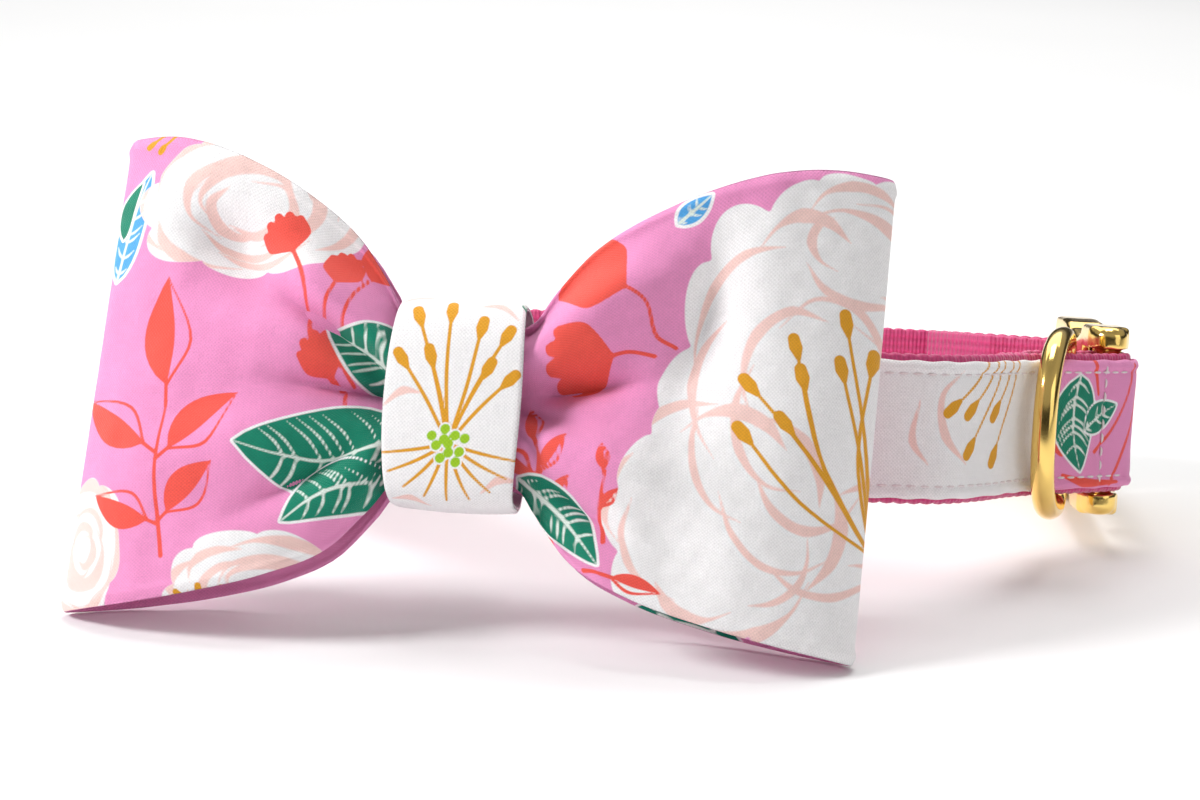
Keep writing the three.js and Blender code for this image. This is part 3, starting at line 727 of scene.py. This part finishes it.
def webbing_line(step):
    tail = np.arange(TAIL["length"], 0, -step)
    main = np.arange(0, STRAP_LENGTH, step)
    far_tail = STRAP_LENGTH - tail[::-1]
    turns = int(math.pi * LAYERS / 2 / step)
    return np.vstack([
        strap_point(tail, tail_deep(tail)),
        fold_arc(0, LAYERS / 2, math.pi, turns)[::-1],
        strap_point(main, np.full(len(main), WEB_DEEP)),
        fold_arc(STRAP_LENGTH, LAYERS / 2, math.pi, turns),
        strap_point(far_tail[::-1], tail_deep(STRAP_LENGTH - far_tail[::-1])),
    ])


def print_line(step):
    """Middle of the printed strip, with s along it (below 0 and past the end on the folds)."""
    radius = LAYERS / 2 + WEB_DEEP - PRINT["thick"] / 2
    turns = int(PRINT["wrap"] * radius / step)
    main = np.arange(0, STRAP_LENGTH, step)
    fold_s = radius * PRINT["wrap"] * np.arange(1, turns + 1) / (turns + 1)
    line = np.vstack([
        fold_arc(0, radius, PRINT["wrap"], turns)[::-1],
        strap_point(main, np.full(len(main), PRINT["thick"] / 2)),
        fold_arc(STRAP_LENGTH, radius, PRINT["wrap"], turns),
    ])
    return line, np.concatenate([-fold_s[::-1], main, STRAP_LENGTH + fold_s])


def line_normals(line):
    """Outward side of a strap line."""
    d = np.gradient(line, axis=0)
    d /= np.maximum(np.linalg.norm(d, axis=1, keepdims=True), 1e-9)
    return np.stack([-d[:, 1], d[:, 0]], 1)


def band_piece(name, line, section, material, relief=None, inks=None, along=None):
    """A closed band: section is rows of (across, out) round the strip, swept along line."""
    normal = line_normals(line)
    run = along if along is not None else run_along(line)
    n, m = len(line), len(section)
    z = np.repeat(section[None, :, 0], n, 0)
    out = np.repeat(section[None, :, 1], n, 0)
    s = np.repeat(run[:, None], m, 1)
    if relief is not None:
        dz, dout = relief(s, z, out)
        z, out = z + dz, out + dout
    xy = line[:, None] + normal[:, None] * out[..., None]
    points = to_row(np.concatenate([xy, z[..., None]], -1).reshape(-1, 3))
    faces = grid_faces(n, columns=m, wrap_columns=True)
    faces.append(list(range(m))[::-1])
    faces.append(list(range((n - 1) * m, n * m)))
    fields = None
    if inks:
        art = Cloth(s, z)
        inks(art)
        fields = art.ink
    cloth = np.stack([s.ravel(), z.ravel()], 1)
    ob = mesh_object(name, points, faces, material, fields, cloth)
    face_out(ob)
    return ob


def face_out(ob):
    """Turns a closed mesh's faces outward."""
    bm = bmesh.new()
    bm.from_mesh(ob.data)
    if bm.calc_volume(signed=True) < 0:
        bmesh.ops.reverse_faces(bm, faces=bm.faces)
        bm.to_mesh(ob.data)
    bm.free()


def rounded_section(half, thick, edge_steps, face_steps, back_steps):
    """Section of a flat strip with round edges, from its outer face round to its inner face."""
    r = thick / 2
    flat = half - r
    a = np.linspace(0, math.pi, edge_steps + 2)[1:-1]
    edge = np.stack([flat + r * np.sin(a), r * np.cos(a)], 1)
    outer = [(z, r) for z in np.linspace(-flat, flat, face_steps)]
    inner = [(z, -r) for z in np.linspace(flat, -flat, back_steps)]
    return np.vstack([outer, edge, inner, -edge])


BRAID_PITCH = 2.36


def webbing_relief(s, z, out):
    """Braided selvedges and the ribs of the weave."""
    edge = smooth(np.abs(z), 11.4, 12.5)
    lump = np.abs(np.sin(math.pi * (s + 0.5 * out) / BRAID_PITCH)) ** 0.7
    rib = np.sin(math.tau * s / 2.1 + math.pi * np.floor(np.abs(z) / 1.55)) * (1 - edge)
    side = np.sign(out)
    return np.sign(z) * edge * (0.42 * lump - 0.28), side * (0.10 * rib - 0.09 + edge * 0.12 * (lump - 0.5))


STITCH_IN, STITCH_PITCH = 2.2, 2.5
CROSS_ROWS = (6.6, 20.5)  # rows of stitches across the folded end, each side of the ring's bar
ALL_CROSS_ROWS = (*CROSS_ROWS, *(STRAP_LENGTH - row for row in CROSS_ROWS))


def print_relief(s, z, out):
    """Puffed hems outside the stitch lines, drawn down at each stitch."""
    face = out > 0
    from_row = np.abs(z) - (PRINT["width"] / 2 - STITCH_IN)
    puff = 0.42 * ridge(from_row, 1.15, 0.75) + 0.10 * smooth(from_row, -6, -1.0) * (from_row < 0)
    draw = -0.30 * ridge(from_row, 0, 0.38) * (0.6 + 0.4 * np.cos(math.tau * s / STITCH_PITCH))
    across = sum(-0.30 * ridge(s, row, 0.5) for row in ALL_CROSS_ROWS)
    wavy = 0.09 * ripple(s, z, 71, 11.0)
    edge = 0.10 * np.sin(s * 0.9 + 1.3 * np.sin(s * 0.23)) * np.sign(z) * smooth(np.abs(z), 10, 11.7)
    return edge, np.where(face, puff + draw + across + wavy, 0.0)


# ---- Materials ----

class Nodes:
    """A material's node tree with short ways to add to it."""

    def __init__(self, name):
        self.material = bpy.data.materials.new(name)
        self.material.use_nodes = True
        self.tree = self.material.node_tree
        self.shader = self.tree.nodes["Principled BSDF"]

    def add(self, kind, **sockets):
        node = self.tree.nodes.new(kind)
        for key, value in sockets.items():
            self.set(node.inputs[key], value)
        return node

    def set(self, socket, value):
        if isinstance(value, bpy.types.NodeSocket):
            self.tree.links.new(value, socket)
        else:
            socket.default_value = value

    def math(self, operation, *values, clamp=False):
        node = self.tree.nodes.new("ShaderNodeMath")
        node.operation, node.use_clamp = operation, clamp
        for socket, value in zip(node.inputs, values):
            self.set(socket, value)
        return node.outputs[0]

    def mix(self, factor, a, b):
        node = self.tree.nodes.new("ShaderNodeMix")
        node.data_type = "RGBA"
        self.set(node.inputs[0], factor)
        self.set(node.inputs[6], a)
        self.set(node.inputs[7], b)
        return node.outputs[2]

    def attribute(self, name):
        node = self.tree.nodes.new("ShaderNodeAttribute")
        node.attribute_name = name
        return node

    def noise(self, vector, scale, detail=2.0):
        node = self.add("ShaderNodeTexNoise", Vector=vector, Scale=scale, Detail=detail)
        return node.outputs["Fac"]

    def stretched(self, vector, x, y, z=1.0):
        node = self.tree.nodes.new("ShaderNodeVectorMath")
        node.operation = "MULTIPLY"
        self.set(node.inputs[0], vector)
        node.inputs[1].default_value = (x, y, z)
        return node.outputs[0]

    def surface(self, colour, roughness, normal):
        for socket, value in (("Base Color", colour), ("Roughness", roughness), ("Normal", normal)):
            self.set(self.shader.inputs[socket], value)

    def bump(self, height, distance, strength=1.0, normal=None):
        node = self.add("ShaderNodeBump", Height=height, Distance=distance, Strength=strength)
        if normal is not None:
            self.set(node.inputs["Normal"], normal)
        return node.outputs[0]


def rgba(name, light=1.0):
    return (*(min(c * light, 1.0) for c in COLOURS[name]), 1.0)


def ink_mask(n, name, soft=0.09, grow=0.0):
    value = n.attribute("ink_" + name).outputs["Fac"]
    return n.math("MULTIPLY_ADD", value, -0.5 / soft, 0.5 + 0.5 * grow / soft, clamp=True)


def weave_height(n, cloth, pitch):
    """Plain weave: threads over and under, a little uneven."""
    split = n.add("ShaderNodeSeparateXYZ", Vector=cloth)
    warp = n.math("SINE", n.math("MULTIPLY", split.outputs[0], math.tau / pitch))
    weft = n.math("SINE", n.math("MULTIPLY", split.outputs[1], math.tau / pitch))
    return n.math("MULTIPLY_ADD", n.math("MULTIPLY", warp, weft), 0.5, 0.5)


def cotton(name, rough=0.82):
    """Plain weave cotton, printed: the inks lie one over another on a pink ground."""
    n = Nodes(name)
    cloth = n.attribute("cloth").outputs["Vector"]
    slub_x = n.noise(n.stretched(cloth, 0.35, 7.0), 1.0, 3.0)
    slub_y = n.noise(n.stretched(cloth, 7.0, 0.35), 1.0, 3.0)
    slub = n.math("ADD", slub_x, slub_y)
    blotch = n.noise(cloth, 0.12, 3.0)
    pink = n.mix(blotch, rgba("pink", 0.95), rgba("pink", 1.05))
    colour = n.mix(ink_mask(n, "blue", grow=0.55), pink, rgba("white"))
    colour = n.mix(ink_mask(n, "blue"), colour, rgba("blue"))
    petal = ink_mask(n, "white", soft=0.12)
    colour = n.mix(petal, colour, rgba("white"))
    stroke = n.math("MULTIPLY", n.math("MULTIPLY", ink_mask(n, "blush", soft=0.16), petal), 0.85)
    colour = n.mix(stroke, colour, rgba("blush"))
    colour = n.mix(ink_mask(n, "coral"), colour, rgba("coral"))
    colour = n.mix(ink_mask(n, "green", grow=0.42), colour, rgba("white"))
    leaf = ink_mask(n, "green")
    green = n.mix(n.noise(cloth, 0.35, 3.0), rgba("green", 0.85), rgba("green", 1.25))
    colour = n.mix(leaf, colour, green)
    vein = n.math("MULTIPLY", ink_mask(n, "vein", soft=0.1), n.math("MAXIMUM", leaf, ink_mask(n, "blue")))
    colour = n.mix(vein, colour, rgba("vein"))
    colour = n.mix(ink_mask(n, "gold"), colour, rgba("gold"))
    colour = n.mix(ink_mask(n, "lime", grow=0.25), colour, rgba("white"))
    colour = n.mix(ink_mask(n, "lime"), colour, rgba("lime"))
    # Painted weave shade: threads show through the ink lighter on their crossings and darker where they dip
    # under, plus the real uneven tone of slubbed yarn.
    weave = weave_height(n, cloth, 0.62)
    shade = n.math("MULTIPLY_ADD", weave, 0.15, n.math("MULTIPLY_ADD", slub, 0.22, 0.70))
    threads = n.add("ShaderNodeCombineColor", Red=shade, Green=shade, Blue=shade).outputs[0]
    # The print colour is multiplied by this painted weave shade and slub tone.
    weave_shaded_colour = n.tree.nodes.new("ShaderNodeMix")
    weave_shaded_colour.data_type, weave_shaded_colour.blend_type = "RGBA", "MULTIPLY"
    weave_shaded_colour.inputs[0].default_value = 1.0
    n.set(weave_shaded_colour.inputs[6], colour)
    n.set(weave_shaded_colour.inputs[7], threads)
    thread_bump = n.bump(weave, 0.00009, 0.7)
    slub_bump = n.bump(slub, 0.00018, 0.6, thread_bump)
    n.surface(weave_shaded_colour.outputs[2], n.math("MULTIPLY_ADD", slub, 0.10, rough - 0.10), slub_bump)
    n.shader.inputs["Sheen Weight"].default_value = 0.18
    n.shader.inputs["Sheen Roughness"].default_value = 0.45
    n.shader.inputs["Specular IOR Level"].default_value = 0.25
    return n.material


def webbing_material():
    """Hot pink nylon webbing: coarse ribs with a slight gloss."""
    n = Nodes("webbing_nylon")
    cloth = n.attribute("cloth").outputs["Vector"]
    split = n.add("ShaderNodeSeparateXYZ", Vector=cloth)
    ribs = n.math("SINE", n.math("MULTIPLY", split.outputs[1], math.tau / 1.55))
    picks = n.math("SINE", n.math("MULTIPLY", split.outputs[0], math.tau / 0.8))
    height = n.math("ADD", n.math("MULTIPLY", ribs, 0.6), n.math("MULTIPLY", picks, 0.4))
    strands = n.noise(n.stretched(cloth, 1.2, 9.0), 1.0, 4.0)
    blotch = n.noise(cloth, 0.25, 3.0)
    # Painted shade: the pink is darker in the hollows between ribs and picks and lighter on their tops.
    rib_shaded_pink = n.mix(n.math("MULTIPLY_ADD", height, 0.35, 0.5), rgba("webbing", 0.62), rgba("webbing", 1.12))
    colour = n.mix(n.math("MULTIPLY", strands, 0.35), rib_shaded_pink, (0.92, 0.16, 0.40, 1))
    relief = n.bump(strands, 0.00012, 0.6, n.bump(height, 0.00018, 0.7))
    n.surface(colour, n.math("MULTIPLY_ADD", blotch, 0.2, 0.42), relief)
    n.shader.inputs["Sheen Weight"].default_value = 0.3
    return n.material


def elastic_material():
    n = Nodes("keeper_elastic")
    cloth = n.attribute("cloth").outputs["Vector"]
    split = n.add("ShaderNodeSeparateXYZ", Vector=cloth)
    ribs = n.math("SINE", n.math("MULTIPLY", split.outputs[1], math.tau / 0.9))
    yarn = n.noise(n.stretched(cloth, 5.0, 1.0), 1.0, 3.0)
    colour = n.mix(yarn, (0.72, 0.66, 0.68, 1), (0.90, 0.86, 0.87, 1))
    relief = n.bump(yarn, 0.0001, 0.5, n.bump(ribs, 0.00015, 0.8))
    n.surface(colour, n.math("MULTIPLY_ADD", yarn, 0.2, 0.7), relief)
    return n.material


def thread_material():
    n = Nodes("stitch_thread")
    coord = n.tree.nodes.new("ShaderNodeTexCoord").outputs["Object"]
    twist = n.noise(coord, 2600.0, 2.0)
    colour = n.mix(twist, (0.72, 0.62, 0.64, 1), (0.92, 0.84, 0.85, 1))
    n.surface(colour, n.math("MULTIPLY_ADD", twist, 0.2, 0.55), n.bump(twist, 0.00005, 0.6))
    return n.material


def gold_material():
    """Polished gold plate with fine haze and hairline scuffs."""
    n = Nodes("gold_plate")
    coord = n.tree.nodes.new("ShaderNodeTexCoord").outputs["Object"]
    haze = n.noise(coord, 260.0, 4.0)
    scuff = n.noise(n.stretched(coord, 2400.0, 300.0, 2400.0), 1.0, 2.0)
    colour = n.mix(haze, rgba("metal", 0.93), rgba("metal", 1.06))
    rough = n.math("MULTIPLY_ADD", scuff, 0.06, n.math("MULTIPLY_ADD", haze, 0.10, 0.07))
    n.surface(colour, rough, n.bump(scuff, 0.00001, 0.3))
    n.shader.inputs["Metallic"].default_value = 1.0
    return n.material


# ---- Pieces ----

printed = cotton("cotton_print")
printed_strip = cotton("cotton_strip", 0.86)
nylon = webbing_material()
gold = gold_material()
thread = thread_material()


def add_bow():
    for hand, name in ((-1, "bow_left"), (1, "bow_right")):
        ob = lobe(hand, name, printed)
        face_out(ob)
        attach(ob, "collar")
        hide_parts("bow")


def add_knot():
    ob = knot_piece(printed)
    face_out(ob)
    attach(ob, "collar")
    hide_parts("knot")


def add_strap():
    step = 0.5 * ROUGH_LOOK
    section = rounded_section(WEBBING["width"] / 2, WEBBING["thick"], 6, 30, 30)
    web = band_piece("webbing_band", webbing_line(0.62 * ROUGH_LOOK), section, nylon, webbing_relief)
    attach(web, "collar")
    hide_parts("webbing")
    line, along = print_line(step)
    section = rounded_section(PRINT["width"] / 2, PRINT["thick"], 3, 62, 8)
    strip = band_piece("print_strip", line, section, printed_strip, print_relief, print_strap, along)
    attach(strip, "collar")
    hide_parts("strap_print")


def add_stitches():
    """Lockstitch rows along both hems and across the folded ends, as short sunk threads."""
    marks = []
    edge = PRINT["width"] / 2 - STITCH_IN
    for z in (-edge, edge):
        for s in np.arange(1.5, STRAP_LENGTH - 1, STITCH_PITCH):
            marks.append((s, z, 0))
    for row in ALL_CROSS_ROWS:
        for z in np.arange(-10.0, 10.1, STITCH_PITCH):
            marks.append((row, z, 1))
    sides, rings = 6, 5
    points, faces = [], []
    for s, z, turned in marks:
        start = len(points)
        for i in range(rings):
            t = i / (rings - 1) * 2 - 1
            r = 0.23 * math.sqrt(max(1 - t**6, 0.02))
            lift = 0.16 * (1 - t * t) - 0.12
            for k in range(sides):
                a = math.tau * k / sides
                ds, dz = (t * 0.95, r * math.cos(a)) if not turned else (r * math.cos(a), t * 0.95)
                x, y = strap_point(s + ds, -(lift + r * math.sin(a)))
                points.append((x, y, z + dz))
        for i in range(rings - 1):
            for k in range(sides):
                a, b = start + i * sides + k, start + i * sides + (k + 1) % sides
                faces.append((a, b, b + sides, a + sides))
        faces.append(tuple(range(start, start + sides))[::-1])
        faces.append(tuple(range(start + (rings - 1) * sides, start + rings * sides)))
    ob = mesh_object("strap_stitches", to_row(np.array(points)), faces, thread)
    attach(ob, "collar")


def add_keeper():
    reach = KEEPER["thick"] / 2 + GAP
    high = WEBBING["width"] / 2 + reach
    behind = WEB_DEEP + WEBBING["thick"] / 2 + reach + KEEPER["slack"]
    before = -reach - KEEPER["slack"]
    lean = 2 * high * math.tan(math.radians(BOW_PLACE["lean"]))
    corners = np.array([(behind, high), (before, high), (before - lean, -high), (behind, -high)])
    route = []
    for i, corner in enumerate(corners):
        toward = [corners[(i + k) % 4] - corner for k in (3, 1)]
        ends = [corner + d / np.hypot(*d) * KEEPER["corner"] for d in toward]
        for t in np.linspace(0, 1, 9):
            route.append((1 - t) ** 2 * ends[0] + 2 * t * (1 - t) * corner + t * t * ends[1])
        straight = corners[(i + 1) % 4] - corner
        straight = straight / np.hypot(*straight)
        far = corners[(i + 1) % 4] - straight * KEEPER["corner"]
        for t in np.linspace(0, 1, 12)[1:-1]:
            route.append(ends[1] * (1 - t) + far * t)
    route = np.array(route)
    normal = loop_normals(route)
    half = KEEPER["width"] / 2
    section = rounded_section(half, KEEPER["thick"], 3, 20, 20)
    n, m = len(route), len(section)
    yz = route[:, None] + normal[:, None] * section[None, :, 1:2]
    x = BOW_PLACE["x"] + np.repeat(section[None, :, :1], n, 0)
    points = to_row(np.concatenate([x, yz], -1).reshape(-1, 3))
    cloth = np.stack([np.repeat(run_along(route), m), np.tile(section[:, 0], n)], 1)
    ob = mesh_object("keeper_elastic", points, closed_faces(n, m), elastic_material(), cloth=cloth)
    face_out(ob)
    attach(ob, "collar")
    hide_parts("keeper")


def add_ring():
    """D-ring: one round wire, swept smoothly round its straight bar and its bow."""
    half, corner, depth = RING["height"] / 2 + BAR_R, RING["corner"], RING["depth"]
    quarter = np.linspace(0, math.pi / 2, 8)
    bend = [(corner * (1 - math.cos(a)), half - corner + corner * math.sin(a)) for a in quarter]
    route = [(0, z) for z in np.linspace(-(half - corner), half - corner, 14)[1:-1]] + bend[:-1]
    for a in np.linspace(0, math.pi, 90):
        power = 2 / RING["squareness"]
        x = corner + (depth - corner) * abs(math.sin(a)) ** power
        route.append((x, half * math.copysign(abs(math.cos(a)) ** power, math.cos(a))))
    route += [(x, -z) for x, z in bend[-2::-1]]
    route = np.array(route)
    closed = np.vstack([route, route[:1]])
    run = run_along(closed)
    even = np.linspace(0, run[-1], 160, endpoint=False)
    route = np.stack([np.interp(even, run, closed[:, k]) for k in (0, 1)], 1)
    normal = loop_normals(route)
    sides = 24
    a = np.linspace(0, math.tau, sides, endpoint=False)
    flat = route[:, None] + normal[:, None] * (BAR_R * np.cos(a))[None, :, None]
    side = np.repeat((BAR_R * np.sin(a))[None], len(route), 0)
    heading = math.radians(RING["heading"])
    x = bar_xy[0] + flat[..., 0] * math.cos(heading) - side * math.sin(heading)
    y = bar_xy[1] + flat[..., 0] * math.sin(heading) + side * math.cos(heading)
    points = to_row(np.stack([x, y, flat[..., 1]], -1).reshape(-1, 3))
    ob = mesh_object("d_ring", points, closed_faces(len(route), sides), gold)
    face_out(ob)
    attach(ob, "ring")
    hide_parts("ring")


def add_buckle():
    """Each half of the buckle: the construction's own shape with the soft edges of a casting."""
    for node in ("buckle_socket", "buckle_plug"):
        source = bpy.data.objects[node]
        ob = source.copy()
        ob.data = source.data.copy()
        ob.name = node + "_cast"
        ob.data.name = ob.name
        ob.hide_render = ob.hide_viewport = False
        bpy.context.collection.objects.link(ob)
        ob.data.materials.clear()
        ob.data.materials.append(gold)
        even = ob.modifiers.new("even", "REMESH")
        even.mode, even.voxel_size, even.use_smooth_shade = "VOXEL", 0.36 * MM, True
        ease = ob.modifiers.new("ease", "SMOOTH")
        ease.factor, ease.iterations = 0.5, 5
        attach(ob, "collar")
        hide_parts(node)


# ---- Camera, floor and light ----

VIEW = {
    "lens": 66.0, "rise": 5.0, "roll": 3.0, "distance": 369.0, "right": 48.1, "up": -4.9, "target_x": 48.0,
}


def add_camera():
    rise, turn = math.radians(VIEW["rise"]), math.radians(VIEW["roll"])
    ahead = Vector((0, math.cos(rise), -math.sin(rise)))
    level, upright = Vector((1, 0, 0)), Vector((0, math.sin(rise), math.cos(rise)))
    right = level * math.cos(turn) + upright * math.sin(turn)
    up = upright * math.cos(turn) - level * math.sin(turn)
    place = Vector((VIEW["target_x"], 0, 0)) - ahead * VIEW["distance"]
    place -= right * VIEW["right"] + up * VIEW["up"]
    camera = bpy.data.objects.new("camera", bpy.data.cameras.new("camera"))
    bpy.context.collection.objects.link(camera)
    camera.data.lens, camera.data.sensor_width = VIEW["lens"], 36.0
    camera.data.clip_start = 0.01
    turned = Matrix((right, up, -ahead)).transposed()
    camera.matrix_world = Matrix.Translation(STAND @ (place * MM) + SHIFT) @ (STAND @ turned).to_4x4()
    bpy.context.scene.camera = camera


def add_floor():
    bpy.ops.mesh.primitive_plane_add(size=6)
    floor = bpy.context.object
    floor.name = "floor"
    n = Nodes("pale_floor")
    coord = n.tree.nodes.new("ShaderNodeTexCoord").outputs["Object"]
    pale = n.mix(n.noise(coord, 3.0), (0.90, 0.90, 0.90, 1), (0.93, 0.93, 0.93, 1))
    n.set(n.shader.inputs["Base Color"], pale)
    n.shader.inputs["Roughness"].default_value = 0.9
    floor.data.materials.append(n.material)


AIM = {"sweep": (0.0, 1.5, 0.0)}  # lights the far floor from straight above


def add_light():
    bpy.context.scene.view_settings.view_transform = "Standard"
    world = bpy.data.worlds.new("studio")
    bpy.context.scene.world = world
    world.use_nodes = True
    background = world.node_tree.nodes["Background"]
    coord = world.node_tree.nodes.new("ShaderNodeTexCoord")
    height = world.node_tree.nodes.new("ShaderNodeSeparateXYZ")
    ramp = world.node_tree.nodes.new("ShaderNodeValToRGB")
    ramp.color_ramp.interpolation = "EASE"
    stops = ((0.0, 0.5), (0.06, 0.08), (0.24, 0.14), (0.36, 0.9), (0.7, 1.0), (1.0, 0.75))
    while len(ramp.color_ramp.elements) < len(stops):
        ramp.color_ramp.elements.new(0.5)
    for element, (place, grey) in zip(ramp.color_ramp.elements, stops):
        element.position, element.color = place, (grey, grey * 0.99, grey * 0.98, 1)
    links = world.node_tree.links
    links.new(coord.outputs["Generated"], height.inputs[0])
    links.new(height.outputs["Z"], ramp.inputs[0])
    links.new(ramp.outputs[0], background.inputs["Color"])
    background.inputs["Strength"].default_value = 0.38
    lamps = [  # name, place, size, watts
        ("key", (-0.64, -0.20, 0.46), 0.20, 5.0),
        ("fill", (0.75, -0.60, 0.35), 0.6, 1.2),
        ("top", (0.05, 0.20, 0.9), 0.45, 3.4),
        ("sweep", (0.0, 1.5, 1.3), 2.0, 22.0),
    ]
    for name, place, size, power in lamps:
        data = bpy.data.lights.new(name, "AREA")
        data.size, data.energy = size, power
        lamp = bpy.data.objects.new(name, data)
        bpy.context.collection.objects.link(lamp)
        lamp.location = place
        toward = Vector(AIM.get(name, (0, 0, 0.03))) - Vector(place)
        lamp.rotation_euler = toward.to_track_quat("-Z", "Y").to_euler()


add_camera()
add_bow()
add_knot()
add_strap()
add_stitches()
add_keeper()
add_ring()
add_buckle()
add_floor()
add_light()
